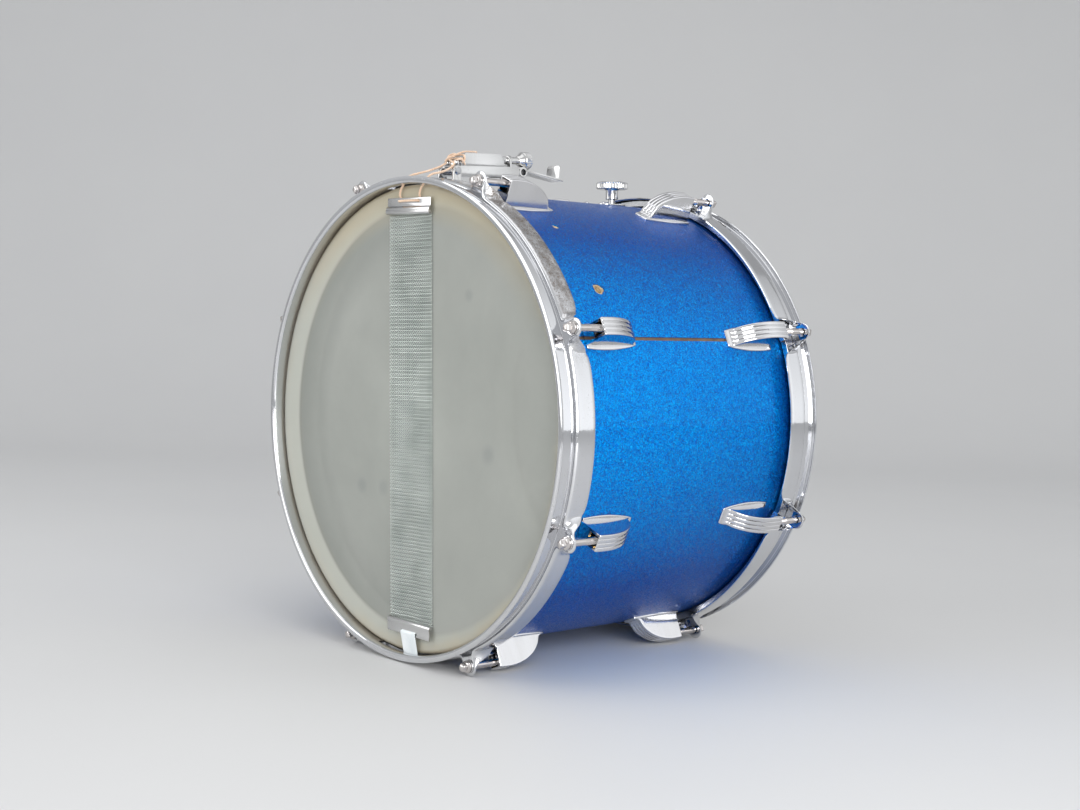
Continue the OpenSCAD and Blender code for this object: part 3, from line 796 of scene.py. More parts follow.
# stations round one eighth of the hoop, degrees from the ear's middle
HOOP_STATIONS = np.r_[np.arange(-22.5, -10, 0.75), np.arange(-10, -5.2, 0.4),
                      np.arange(-5.2, 5.21, 0.2), np.arange(5.6, 10, 0.4),
                      np.arange(10.1, 22.4, 0.75)]


def hoop_centreline(station):
    """(radius, y) down the middle of the steel: lip, wall, bend, then the flange or ear."""
    around = abs(math.radians(station)) * 190.0
    fold = float(smoothstep(5.5, 16.0, around)) * math.pi / 2
    length = float(np.interp(around, FLANGE_AT, FLANGE_LENGTH))
    quarter = np.linspace(0, math.pi / 2, 6)[1:]
    line = [(185.7, 136.15), (184.6, 136.2), (183.4, 136.15)]
    line += [(HOOP_WALL_R + HOOP_BEND_R - HOOP_BEND_R * math.sin(a),
              136.15 - HOOP_BEND_R * (1 - math.cos(a))) for a in quarter]
    line += [(HOOP_WALL_R, y) for y in (132.5, 129, 126, 124.2)]
    line += [(HOOP_WALL_R + HOOP_BEND_R * (1 - math.cos(a)), 124.0 - HOOP_BEND_R * math.sin(a))
             for a in quarter]
    heel_r, heel_y = 184.0, 122.6
    line.append((heel_r, heel_y))
    for share in np.linspace(0, 1, 6)[1:]:
        bend = fold * share
        line.append((heel_r + HOOP_FOLD_R * math.sin(bend) + 0.9 * share * (1 - fold / (math.pi / 2)),
                     heel_y - HOOP_FOLD_R * (1 - math.cos(bend))))
    start_r, start_y = line[-1]
    line += [(start_r + math.cos(fold) * length * share, start_y - math.sin(fold) * length * share)
             for share in np.linspace(0, 1, 7)[1:]]
    return line


def counter_hoop(name, side):
    sections = [sheet_outline(hoop_centreline(station), half=0.8, tip_back=0.75, tip_out=0.66,
                              side=-1) for station in HOOP_STATIONS]
    points = []
    for ear in EAR_ANGLES:
        for station, section in zip(HOOP_STATIONS, sections):
            angle = math.radians(ear + station)
            points.append(np.stack([section[:, 0] * math.cos(angle), side * section[:, 1],
                                    section[:, 0] * math.sin(angle)], -1))
    faces = grid_faces(len(points), len(sections[0]), True, True)
    obj = new_object(name, (np.concatenate(points), faces), 40)
    rod_hole = shift(turned([(3.45, 119), (3.45, 127)], 40), (ROD_R, 0, 0))
    cutters = [at_ears(rod_hole, side)]
    if side < 0:
        # gates for the snares at the top and bottom
        cutters += [box((-31.5, -130.5, z), (31.5, -119.5, z + 14)) for z in (176, -190)]
    cut(obj, merge(cutters))
    finish_mesh(obj, 40, recalc=False)
    return obj


for side, label in SIDES:
    place(counter_hoop(f"{label}_counter_hoop", side), HOOP_CHROME, "chrome_plate",
          f"{label}_hoop")

# ------------------------------------------------------------------ lugs
LUG_HALF_WIDTH = 6.7
LUG_EDGE_R = 0.8
LUG_GROOVES = (3.45, 0.0, -3.45)  # z of the grooves that part the back into four ribs


def lug_casting():
    """The casting at angle 0: one skin over its back, with closed sides."""
    outline = [(99.0, r) for r in np.linspace(178.2, 198.7, 7)]  # y, radius
    outline += [(99.0 - 1.5 * (1 - math.cos(a)), 198.7 + 1.35 * math.sin(a))
                for a in np.linspace(0, math.pi / 2, 6)[1:]]
    outline += [(95.6, 200.15), (93.0, 200.25)]
    outline += [(90 - 35 * math.sin(a), 178 + 22.3 * math.cos(a))
                for a in np.radians(np.r_[np.linspace(0, 60, 15), np.linspace(63, 78.5, 7)])]
    outline += [(55.0, 181.2), (54.3, 180.5), (53.3, 180.1), (52.2, 179.9), (51.3, 179.8),
                (51.1, 178.2)]
    outline = np.array(outline)
    inward = normals(tangents(outline))
    if np.mean(np.sum((np.array([82.0, 184.0]) - outline) * inward, 1)) < 0:
        inward = -inward

    # stations across the width, close together at the edges and grooves
    stations = [sign * (LUG_HALF_WIDTH - inset)
                for sign in (1, -1) for inset in (0, 0.08, 0.25, 0.5, LUG_EDGE_R)]
    stations += [groove + sign * step for groove in LUG_GROOVES for sign in (1, -1)
                 for step in (0, 0.28, 0.5, 0.66, 0.85, 1.3)]
    stations += [1.725, -1.725]
    stations = np.array(sorted({round(z, 3) for z in stations}, reverse=True))

    depth = np.zeros(len(outline))
    for i, (y, r) in enumerate(outline):
        if r > 181 and y < 98.4:
            depth[i] = 0.5 + 1.15 * float(smoothstep(84, 68, y))
        if y < 60:
            depth[i] *= float(smoothstep(181.2, 185.0, r))
    inset = np.zeros((len(outline), len(stations)))
    for j, z in enumerate(stations):
        past = abs(z) - (LUG_HALF_WIDTH - LUG_EDGE_R)
        rounding = 0.0
        if past > 0:
            rounding = LUG_EDGE_R - math.sqrt(max(LUG_EDGE_R * LUG_EDGE_R - past * past, 0.0))
        near = min(abs(z - groove) for groove in LUG_GROOVES)
        share = float(smoothstep(0.0, 0.5, max(0.0, 1.0 - near / 0.72)))
        crown = 0.16 * max(0.0, 1.0 - near / 1.7) ** 2
        inset[:, j] = rounding + share * depth + crown * (depth > 0.05)
    inset[outline[:, 1] < 179.0] *= 0.3
    inset[outline[:, 0] < 54.5] *= 0.35
    grid = outline[:, None, :] + inward[:, None, :] * inset[:, :, None]
    rows, columns = len(outline), len(stations)
    points = list(np.stack([grid[:, :, 1], grid[:, :, 0],
                            np.broadcast_to(stations, (rows, columns))], -1).reshape(-1, 3))
    faces = grid_faces(rows, columns, False, False)

    # each side closes in slightly bulged rows to a middle point
    centre = np.array([88.0, 178.2])
    for sign, column in ((1, 0), (-1, columns - 1)):
        row = [i * columns + column for i in range(rows)]
        for scale, bulge in ((0.93, 0.05), (0.7, 0.12), (0.4, 0.18)):
            start = len(points)
            for corner in grid[:, column, :]:
                y, r = centre + (corner - centre) * scale
                points.append(np.array([r, y, sign * (LUG_HALF_WIDTH + bulge - 0.05)]))
            inner = list(range(start, start + rows))
            faces += [(row[i], row[i + 1], inner[i + 1], inner[i]) for i in range(rows - 1)]
            row = inner
        middle = len(points)
        points.append(np.array([centre[1], centre[0], sign * (LUG_HALF_WIDTH + 0.14)]))
        faces += [(row[i], row[i + 1], middle) for i in range(rows - 1)]
    return np.array(points), faces


# one half of the foot's outline: distance round the shell, y
LUG_FOOT = [(9.2, 99.0), (10.0, 91), (10.3, 82), (10.1, 73), (9.4, 66), (8.6, 59.5), (7.6, 54),
            (6.4, 49.9)]
LUG_FOOT_CORNERS = {0, 1, 8, 9}
# height above the wrap, inset of the outline
LUG_FOOT_LEVELS = [(0.03, 0.0), (1.0, 0.0), (1.5, 0.15), (1.8, 0.5), (1.95, 1.1), (2.0, 3.0)]


def lug_foot():
    """Curved plate between the casting and the shell."""
    corners = np.array([(-9.2, 99.0)] + LUG_FOOT + [(-s, y) for s, y in LUG_FOOT[:0:-1]])
    path = []
    for k, here in enumerate(corners):
        following = (k + 1) % len(corners)
        to_before, to_after = corners[k - 1] - here, corners[following] - here
        if k in LUG_FOOT_CORNERS:
            start = here + to_before / np.linalg.norm(to_before) * 0.9
            end = here + to_after / np.linalg.norm(to_after) * 0.9
            count = 6
        else:
            start = here + to_before * (0.35 if k - 1 in LUG_FOOT_CORNERS else 0.5)
            end = here + to_after * (0.35 if following in LUG_FOOT_CORNERS else 0.5)
            count = 7
        for t in np.linspace(0, 1, count):
            point = (1 - t) ** 2 * start + 2 * t * (1 - t) * here + t * t * end
            if not path or np.linalg.norm(path[-1] - point) > 0.15:
                path.append(point)
    path = np.array(path)
    centre = np.array([0, 76.0])
    count = len(path)
    from_centre = path - centre
    reach = np.linalg.norm(from_centre, axis=1)[:, None]
    points = []
    for height, inset in LUG_FOOT_LEVELS:
        edge = centre + from_centre * (reach - inset) / reach
        angles = edge[:, 0] / WRAP_R
        radius = WRAP_R + height
        points.append(np.stack([radius * np.cos(angles), edge[:, 1], radius * np.sin(angles)], -1))
    faces = skin_faces(len(LUG_FOOT_LEVELS), count)
    for level in (0, len(LUG_FOOT_LEVELS) - 1):
        middle = sum(len(part) for part in points)
        points.append([[WRAP_R + LUG_FOOT_LEVELS[level][0], centre[1], 0]])
        faces += [(middle, level * count + i, level * count + (i + 1) % count)
                  for i in range(count)]
    return np.concatenate(points), faces


nut_pocket = box((188.9, 82.0, -4.6), (198.75, 101.0, 4.6))
rod_bore = shift(turned([(3.3, 78.5), (3.3, 83)], 40), (ROD_R, 0, 0))
lug = merge([carve(lug_casting(), nut_pocket, rod_bore, close=True), lug_foot()])
for side, label in SIDES:
    add(f"{label}_lug_castings", at_ears(lug, side), 38, LUG_CHROME, "chrome_plate",
        f"{label}_lugs")


# ------------------------------------------------------------------ tension rods and washers
def square_head(angles, radius, y):
    """Squares the rod's section beyond the collar."""
    if y < 126.95:
        return np.full(len(angles), radius)
    half = 2.85 * min(1.0, radius / 3.5)
    return np.minimum(half / np.maximum(np.abs(np.cos(angles)), np.abs(np.sin(angles))), radius)


ROD_PITCH = 1.06
rod_thread = thread(82.6, 108, ROD_PITCH, crest=2.72, root=2.42,
                    steps=(0.3 * ROD_PITCH, 0.55 * ROD_PITCH, 0.75 * ROD_PITCH))
# radius, y: tip, thread, shank, collar, square head
rod_profile = [(1.6, 81.0), (2.35, 81.5), (2.7, 82.2)] + rod_thread
rod_profile += [(2.75, rod_thread[-1][1] + 0.4), (2.75, 124.35), (4.3, 124.36), (4.6, 124.55),
                (4.7, 124.95), (4.7, 125.8), (4.55, 126.3), (4.2, 126.6), (3.7, 126.9),
                (3.5, 127.1), (3.5, 127.5), (3.5, 129.4), (3.45, 130.0), (3.25, 130.5),
                (2.85, 130.9), (2.2, 131.2), (1.2, 131.38)]
rod = turned(rod_profile, 48, square_head)
for side, label in SIDES:
    for i, angle in enumerate(EAR_ANGLES, 1):
        spin = float(rng.uniform(0, 90))  # the square head comes to rest at any angle
        shape = rotate(shift(rotate(rod, spin), (ROD_R, 0, 0)), angle)
        name = f"{label}_rod_{i}"
        add(f"{label}_tension_rod_{i}", shape if side > 0 else mirror(shape), 32, ROD_CHROME,
            "chrome_plate", name, body=name)

WASHER_PROFILE = [(3.05, 123.45), (5.1, 123.42), (5.3, 123.6), (5.3, 124.1), (5.1, 124.3),
                  (3.2, 124.3), (3.05, 124.15)]  # radius, y
washer = shift(ring(WASHER_PROFILE, 40), (ROD_R, 0, 0))
add("rod_washer_set", merge([at_ears(washer, side) for side, _ in SIDES]), 30, CHROME,
    "chrome_plate", "rod_washers")

# ------------------------------------------------------------------ wrap
# ragged holes in the wrap: angle round the drum, radius, phase of the raggedness
WRAP_HOLES = ((35.3, 4.4, 1), (57.1, 2.7, 2))
WRAP_HOLE_Y = -67.0


def ragged_hole(angle, radius, phase):
    count = 36
    around = circle(count)
    ragged = 1 + 0.07 * np.sin(3 * around + phase) + 0.05 * np.sin(5 * around + 2 * phase)
    y = WRAP_HOLE_Y + radius * ragged * np.cos(around) * 1.12
    z = radius * ragged * np.sin(around)
    points = np.vstack([np.stack([np.full(count, r), y, z], -1) for r in (174.0, 181.0)])
    return rotate((points, prism_faces(2, count)), angle)


def wrap_sheet():
    """The sheet round the shell, open at its seam, its free edges lifted a little."""
    gap = math.degrees(1.35 / WRAP_R)
    count = 720
    angles = np.radians(np.linspace(SEAM_ANGLE + gap, SEAM_ANGLE - gap + 360, count))
    ys = np.r_[-124.5, -124.2, np.linspace(-118, 118, 41), 124.2, 124.5]
    inner_r, bevel_r = SHELL_R + 0.02, WRAP_R - 0.2
    loop = [(inner_r, ys[0]), (bevel_r, ys[0])]
    loop += [(WRAP_R, y) for y in ys[1:-1]]
    loop += [(bevel_r, ys[-1]), (inner_r, ys[-1])]
    loop += [(inner_r, y) for y in ys[1:-1][::-1]]
    loop = np.array(loop)
    points = np.stack([np.outer(np.cos(angles), loop[:, 0]),
                       np.broadcast_to(loop[:, 1], (count, len(loop))),
                       np.outer(np.sin(angles), loop[:, 0])], -1)
    steps = np.arange(count)
    lift = (0.10 * np.exp(-((steps / 4.0) ** 2))
            + 0.10 * np.exp(-(((count - 1 - steps) / 4.0) ** 2)))
    points[:, :, 0] += (np.cos(angles) * lift)[:, None]
    points[:, :, 2] += (np.sin(angles) * lift)[:, None]
    faces = tube_faces(count, len(loop))
    obj = new_object("wrap_sheet", (points.reshape(-1, 3), faces), 30)
    shaft_points, shaft_faces = turned([(3.4, -8), (3.4, 8)], 32)
    shaft_hole = (stand_up(shaft_points, z=178), shaft_faces)
    cut(obj, merge([ragged_hole(*hole) for hole in WRAP_HOLES] + [shaft_hole]))
    finish_mesh(obj, 30, recalc=False)
    return obj


place(wrap_sheet(), sparkle_wrap(), "sparkle_wrap", "wrap")

# ------------------------------------------------------------------ heads
FILM_FLAT_RADII = [20, 45, 70, 95, 115, 130, 142, 152, 160, 166, 170, 173]
# radius, y of the film's outer and inner skins beyond the flat, down to its free edge and back
FILM_OUTER = [(175.0, 127.3), (176.6, 127.32), (178.0, 127.3), (179.0, 127.1), (179.8, 126.65),
              (180.35, 125.9), (180.65, 124.8), (180.75, 123.4), (180.78, 121.6), (180.8, 120.0),
              (180.8, 116.5), (180.8, 114.6)]
FILM_INNER = [(180.5, 114.6), (180.5, 116.5), (180.5, 120.0), (180.5, 121.6), (180.48, 123.4),
              (180.35, 124.7), (180.1, 125.65), (179.6, 126.35), (178.9, 126.8), (178.0, 127.02),
              (176.6, 127.05), (175.0, 127.04), (173.0, 127.02)]


def film(side, seed):
    """The film as a closed sheet, slightly puckered where it turns over the shell's edge."""
    count = 512
    draw = np.random.default_rng(seed)
    angles = circle(count)
    wave = sum(draw.uniform(0.4, 1.0) * np.sin(k * angles + draw.uniform(0, 6.28))
               for k in (3, 5, 8, 13, 21, 34))
    wave /= np.abs(wave).max()
    profile = [(r, 127.28) for r in FILM_FLAT_RADII] + FILM_OUTER + FILM_INNER
    profile += [(r, 127.03) for r in FILM_FLAT_RADII[::-1][1:]]
    points, faces = turned(profile, count)
    radii = np.hypot(points[:, 0], points[:, 2])
    around = np.arctan2(points[:, 2], points[:, 0]) % (2 * math.pi)
    pucker = np.interp(radii, [150, 172, 177, 179.5, 180.4], [0, 0.0, 0.12, 0.10, 0.0])
    swell = np.interp(around, np.r_[angles, 2 * math.pi], np.r_[wave, wave[0]])
    points[:, 1] += pucker * (swell * 0.6 - 0.1)
    return (points, faces) if side > 0 else mirror((points, faces))


for side, label, seed, material in ((-1, "snare", 3, snare_film()), (1, "batter", 5, batter_film())):
    add(f"{label}_film_sheet", film(side, seed), 60, material, f"{label}_film",
        f"{label}_head_film")

# radius, y of the channel that grips the film
FLESH_RING_PROFILE = [
    (179.3, 113.0), (179.6, 112.6), (183.9, 112.6), (184.2, 112.9), (184.2, 121.2),
    (184.0, 121.45), (183.5, 121.45), (183.3, 121.2), (183.3, 113.9), (183.0, 113.6),
    (180.5, 113.6), (180.2, 113.9), (180.2, 120.7), (180.05, 120.95), (179.45, 120.95),
    (179.3, 120.7)]
for side, label in SIDES:
    add(f"{label}_flesh_ring", ring([(r, side * y) for r, y in FLESH_RING_PROFILE], 512), 30,
        ALUMINIUM, "flesh_hoop", f"{label}_flesh_hoop")


# ------------------------------------------------------------------ snare strands
def strands():
    """Twenty coiled wires, leaned and shifted to their place on the snare head."""
    count, strip_width = 20, 51.0
    pitch, coil_r, wire_r = 2.8, 0.84, 0.33
    z_start, z_end = -157.5, 158.0
    turns = (z_end - z_start) / pitch
    share = np.linspace(0, 1, int(turns * 10))
    parts = []
    for i in range(count):
        x = -25.5 + i * strip_width / (count - 1)
        phase = 0.05 * i + 0.2 * math.sin(0.5 * i) + rng.uniform(-0.12, 0.12)
        wind = 1.0 + rng.normal(0, 0.0005)
        bow = rng.normal(0, 0.16)
        angle = phase + share * turns * wind * 2 * math.pi
        centre_x = (x + bow * np.sin(math.pi * share)
                    + 0.05 * np.sin(9 * math.pi * share + phase))
        path = np.stack([centre_x + coil_r * np.cos(angle), -128.46 + coil_r * np.sin(angle),
                         z_start + share * (z_end - z_start)], -1)
        parts.append(sweep(path, wire_r, 5))
    return shift(rotate(merge(parts), STRIP_LEAN), (STRIP_SHIFT, 0, 0))


add("snare_wire_coils", strands(), 70, snare_wire(), "snare_wire", "snare_wires")

# ------------------------------------------------------------------ snare end plates
PLATE_HALF = 0.85 / 2  # half the sheet's thickness
UPPER_TILT = {"degrees": -0.9, "pivot": (-2.2, 164)}
CORD_HOLE_X = (-14.0, 10.0)


def upper_end_plate():
    """Flat flange with two cord holes, a step, then the sheet rolled over the strand ends."""
    path = [(-129.9, 170.2), (-129.9, 167.6), (-129.9, 165.0), (-129.95, 164.2),
            (-130.35, 163.6), (-131.0, 163.2), (-131.45, 162.6), (-131.4, 161.9)]  # y, z
    path += arc((-130.2, 159.9), 1.75, 140, 330, 16)
    plate = extrude_x(sheet_outline(path, PLATE_HALF), -29.6, 25.2, 0.25)
    core = extrude_x(arc((-129.9, 159.9), 1.25, 0, 345, 18), -29.3, 24.9, 0.2)
    hole = turned([(1.35, -134), (1.35, -125)], 24)
    plate = carve(plate, merge([shift(hole, (x, 0, 168.0)) for x in CORD_HOLE_X]))
    return rotate(merge([plate, core]), **UPPER_TILT)


def lower_end_plate():
    """The sheet rolled over the strand ends, then a flange slotted for the strap."""
    path = arc((-130.2, -157.4), 1.5, 30, 178, 12)
    path += [(-131.7, -158.4), (-131.5, -159.2), (-131.2, -160.5), (-131.2, -163.2),
             (-131.2, -166.2)]  # y, z
    plate = extrude_x(sheet_outline(path, PLATE_HALF), -17.8, 35.8, 0.25)
    core = extrude_x(arc((-129.9, -157.5), 1.1, 0, 345, 18), -17.5, 35.5, 0.2)
    plate = carve(plate, box((0.2, -134, -164.9), (19.8, -128.9, -163.1)))
    return rotate(merge([plate, core]), -1.2, pivot=(9, -161))


add("upper_snare_plate", upper_end_plate(), 34, CHROME, "chrome_plate", "snare_end_plate_upper")
add("lower_snare_plate", lower_end_plate(), 34, CHROME, "chrome_plate", "snare_end_plate_lower")

# ------------------------------------------------------------------ strap
# y, z along the middle of the tape, from the lower end plate to the butt
STRAP_PATH = [
    (-129.6, -161.8), (-130.4, -162.6), (-131.6, -163.4), (-132.5, -163.9), (-132.75, -165.0),
    (-132.2, -167.5), (-131.2, -172), (-130.2, -177), (-129.3, -181), (-128.2, -183.8),
    (-126.3, -185.7), (-123.6, -186.7), (-120, -187.0), (-113, -187.0), (-107, -186.95),
    (-104.6, -186.2), (-102, -184.2), (-100, -183.1), (-97, -182.9), (-90, -182.9),
    (-82.5, -182.9)]


def strap():
    path = spline(STRAP_PATH, 5)
    out = normals(tangents(path))
    across = np.linspace(-9, 9, 25)
    ridge = 0.05 * np.cos(across * 2 * math.pi / 1.5)
    thinning = np.where(np.abs(across) > 8.6, 0.45, 1.0)
    faces_of_tape = []
    for sign in (1, -1):
        offset = sign * (0.34 + ridge) * thinning
        y = path[:, None, 0] + out[:, None, 0] * offset[None, :]
        z = path[:, None, 1] + out[:, None, 1] * offset[None, :]
        faces_of_tape.append(np.stack([np.broadcast_to(across + 10.0, y.shape), y, z], -1))
    loop = np.concatenate([faces_of_tape[0], faces_of_tape[1][:, ::-1]], 1)
    return loop.reshape(-1, 3), tube_faces(len(path), loop.shape[1])


add("snare_strap_tape", strap(), 50, strap_weave(), "strap", "snare_strap")


# ------------------------------------------------------------------ cords
def twisted(knots, radius=0.95, phase=0.0):
    """Two-ply twisted cord through the knots."""
    path = resample(spline(knots, 10), 0.45)
    _, across, beside = frames_along(path)
    parts = []
    for strand in (0, 1):
        angle = phase + distances(path) / 4.2 * 2 * math.pi + strand * math.pi
        offset = np.cos(angle)[:, None] * across + np.sin(angle)[:, None] * beside
        parts.append(sweep(path + 0.48 * radius * offset, 0.56 * radius, 7))
    return merge(parts)


# from the end plate's holes, over the hoop, to the clamp
CORD_LEFT = [
    (-14.0, -129.0, 168.2), (-15.2, -128.3, 170.8), (-15.4, -129.2, 173.5),
    (-13.6, -129.2, 178.0), (-10.8, -128.4, 182.2), (-9.8, -126.4, 186.0),
    (-9.0, -122.5, 188.7), (-8.0, -117, 190.4), (-6.6, -109, 192.8), (-5.4, -101, 195.8),
    (-4.8, -96, 198.2), (-4.4, -92.6, 200.6)]
CORD_RIGHT = [
    (10.0, -129.0, 168.2), (9.4, -128.3, 170.8), (9.8, -129.2, 173.5), (12.0, -129.2, 178.0),
    (15.2, -128.4, 182.0), (16.4, -126.4, 185.6), (16.0, -122.5, 188.0), (14.6, -117, 189.4),
    (11.8, -109, 191.2), (8.6, -101, 193.9), (6.8, -96, 196.6), (5.6, -92.6, 199.4)]
# across the outer face of the end plate between its holes
CORD_BRIDGE = [
    (-14.0, -129.2, 168.0), (-13.6, -131.2, 168.0), (-11.5, -131.9, 168.1),
    (-2.0, -131.9, 168.3), (7.5, -131.9, 168.2), (9.6, -131.2, 168.1), (10.0, -129.2, 168.1)]
add("cord_bridge", twisted(rotated(CORD_BRIDGE, **UPPER_TILT)), 60, CORD, "cord")


def tie_cord(label, path, phase):
    """One cord in two objects: the first up to y = -98.5, the end beyond it."""
    points, faces = twisted(path, phase=phase)
    for suffix in ("", "_end"):
        kept = [face for face in faces
                if (float(points[list(face)][:, 1].mean()) >= -98.5) == bool(suffix)]
        used = sorted({i for face in kept for i in face})
        index = {i: k for k, i in enumerate(used)}
        shape = (points[used], [tuple(index[i] for i in face) for face in kept])
        obj = new_object(f"tie_cord_{label}{suffix}", shape, 60)
        obj.data.materials.append(CORD)
        if suffix:
            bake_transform(obj)
        else:
            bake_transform(obj)
        if label == "left" and not suffix:
            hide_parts("snare_cords")


tie_cord("left", CORD_LEFT, phase=0.0)
tie_cord("right", CORD_RIGHT, phase=1.0)

# ------------------------------------------------------------------ softened CAD hardware
# CAD node, object name, material, body it rides, edge width, slot
HARDWARE = [
    ("strainer_base_plate", "strainer_base", CHROME, "root", 0.35, "chrome_plate"),
    ("throw_lever", "strainer_throw_lever", CHROME, "throw_lever", 0.4, "chrome_plate"),
    ("clamp_block", "strainer_clamp_block", CHROME, "cord_clamp", 0.45, "chrome_plate"),
    ("cord_clamp_plate", "strainer_clamp_plate", CHROME, "cord_clamp", 0.3, "chrome_plate"),
    ("butt_base_plate", "butt_base", CHROME, "root", 0.35, "chrome_plate"),
    ("butt_clamp_plate", "butt_clamp", CHROME, "root", 0.35, "chrome_plate"),
    ("tone_escutcheon", "tone_base_plate", CHROME, "root", 0.35, "chrome_plate"),
    ("muffler_bracket", "muffler_mount", ZINC, "root", 0.3, "zinc_steel"),
    ("muffler_arm", "muffler_pad_lever", ZINC, "muffler_pad_arm", 0.3, "zinc_steel"),
    ("muffler_nut", "muffler_travel_nut", BRASS, "muffler_nut", 0.3, "brass_nut")]
for node, name, material, body, width, slot in HARDWARE:
    place(soften(node, name, width), material, slot, node, body=body)


# ------------------------------------------------------------------ screws
def slotted_head(radius, height, slot_width=0.8):
    # share of the radius, share of the height
    dome = [(1, 0.35), (0.96, 0.6), (0.8, 0.86), (0.5, 0.98), (0.15, 1)]
    profile = [(radius * 0.55, -0.01), (radius * 0.97, 0.0), (radius, 0.12)]
    profile += [(radius * r, height * y) for r, y in dome]
    slot = box((-radius * 1.3, height * 0.45, -slot_width / 2),
               (radius * 1.3, height * 1.5, slot_width / 2))
    return carve(turned(profile, 32), slot)


def screw(head, spin, head_at, shank_at, axis, radius, length):
    """Head and shank as two shapes; the shank starts inside and runs out to the head."""
    shank = turned([(radius * 0.8, 0), (radius, 0.3), (radius, length)], 24)
    return [aim(rotate(head, spin), head_at, axis), aim(shank, shank_at, axis)]


def radial_screws(places, head, radius, head_r, inner_r, nut_r):
    """Screws through the shell with nuts inside; places are (angle, y, spin)."""
    nut = turned([(nut_r * 0.9, 0.0), (nut_r, 0.3), (nut_r, 2.4), (nut_r * 0.9, 2.7)], 6)
    parts = []
    for angle, y, spin in places:
        t = math.radians(angle)
        axis = (math.cos(t), 0, math.sin(t))
        head_at, shank_at = (np.array([r * math.cos(t), y, r * math.sin(t)])
                             for r in (head_r, inner_r))
        parts += screw(head, spin, head_at, shank_at, axis, radius, head_r - inner_r + 0.05)
        parts.append(aim(nut, shank_at + np.array(axis) * 0.1, axis))
    return merge(parts)


mount_head = slotted_head(3.2, 1.55)
shape = radial_screws([(86.6, -78, 20), (93.4, -78, 75), (86.6, -24, 140), (93.4, -24, 50)],
                      mount_head, radius=1.9, head_r=179.5, inner_r=168.5, nut_r=3.3)
add("strainer_screws", shape, 35, CHROME, "zinc_steel", "strainer_mount_screws")

shape = radial_screws([(90, TONE_Y - 10, 30), (90, TONE_Y + 10, 110)], slotted_head(2.8, 1.3),
                      radius=1.45, head_r=179.45, inner_r=166.0, nut_r=2.9)
add("tone_plate_screws", shape, 35, CHROME, "zinc_steel", "muffler_screws")

parts = [radial_screws([(-88.8, -75, 10), (-84.7, -75, 80)], mount_head, radius=1.9,
                       head_r=179.25, inner_r=168.5, nut_r=3.3)]
butt_head = slotted_head(3.0, 1.75)
for x, spin in ((-2.5, 15), (22.5, 95)):
    parts += screw(butt_head, spin, head_at=(x, -89.5, -185.42), shank_at=(x, -89.5, -178.9),
                   axis=(0, 0, -1), radius=1.45, length=6.5)
add("butt_screw_set", merge(parts), 35, CHROME, "zinc_steel", "butt_screws")

parts = []
clamp_head = slotted_head(2.3, 1.7, slot_width=0.6)
for x, spin in ((-5.6, 25), (5.6, 120)):
    parts += screw(clamp_head, spin, head_at=(x, -91.05, 200.2), shank_at=(x, -80.1, 200.2),
                   axis=(0, -1, 0), radius=1.15, length=10.9)
add("cord_screws", from_lever(merge(parts)), 35, CHROME, "zinc_steel", "cord_clamp_screws",
    body="cord_clamp")


# ------------------------------------------------------------------ hinge pins
def hinge_pin(y, z, half_length, head_r):
    """Riveted pin along X with domed heads."""
    radius, dome, length = 1.95, 1.3, 2 * half_length
    profile = [(head_r * 0.4, -dome), (head_r * 0.8, -dome * 0.85), (head_r, -dome * 0.3),
               (head_r, 0.0), (radius, 0.01), (radius, length - 0.01), (head_r, length),
               (head_r, length + dome * 0.3), (head_r * 0.8, length + dome * 0.85),
               (head_r * 0.4, length + dome)]
    return aim(turned(profile, 32), (-half_length, y, z), (1, 0, 0))


add("strainer_pin", hinge_pin(*LEVER_PIVOT, half_length=10.3, head_r=3.0), 35, ZINC,
    "zinc_steel", "strainer_hinge_pin")
add("muffler_pin", hinge_pin(97, 148, half_length=8.9, head_r=2.9), 35, ZINC,
    "zinc_steel", "muffler_hinge_pin")


# ------------------------------------------------------------------ knobs and their screws
def knurl(teeth, depth, start, end, ease):
    """Grooves round a knob between two stations, fading in and out over the ease."""
    def radius_at(angles, radius, y):
        share = float(smoothstep(start, start + ease, y) * smoothstep(end, end - ease, y))
        return radius - depth * share * (0.5 + 0.5 * np.cos(angles * teeth)) ** 0.8
    return radius_at


def on_adjuster(shape):
    return from_lever(shift(shape, (0, 0, ADJUSTER_Z)))


def on_tone_axis(shape):
    return stand_up(shape[0]), [face[::-1] for face in shape[1]]


FINE_THREAD = {"pitch": 0.8, "steps": (0.3, 0.5, 0.62)}

# profiles are radius, distance along the part's axis
profile = [(3.05, -23.5), (3.5, -23.45), (3.75, -23.2), (4.1, -22.2), (4.7, -21.0), (5.5, -19.9),
           (6.3, -19.2), (6.8, -18.75), (7.05, -18.3), (7.1, -17.7), (7.1, -17), (7.1, -16),
           (7.1, -15), (7.1, -14), (7.1, -13), (7.05, -12.6), (6.8, -12.3), (6.3, -12.12),
           (4.4, -12.1), (4.2, -12.3), (2.8, -12.35), (1.2, -12.35)]
shape = turned(profile, 240, knurl(teeth=34, depth=0.38, start=-18.2, end=-12.7, ease=0.5))
add("strainer_knob", on_adjuster(shape), 40, CHROME, "chrome_plate", "adjusting_knob",
    body="adjuster")

profile = [(2.1, -76), (2.7, -75.6)] + thread(-75.0, -37.5, crest=2.98, root=2.7, **FINE_THREAD)
profile += [(3.0, -36.2), (3.0, -33.4), (3.8, -33.39), (4.0, -33.1), (4.0, -31.7), (3.8, -31.4),
            (2.9, -31.35), (2.9, -13.4), (2.6, -13.2)]
add("strainer_screw", on_adjuster(turned(profile, 48)), 32, CHROME, "zinc_steel",
    "adjusting_screw", body="adjuster")

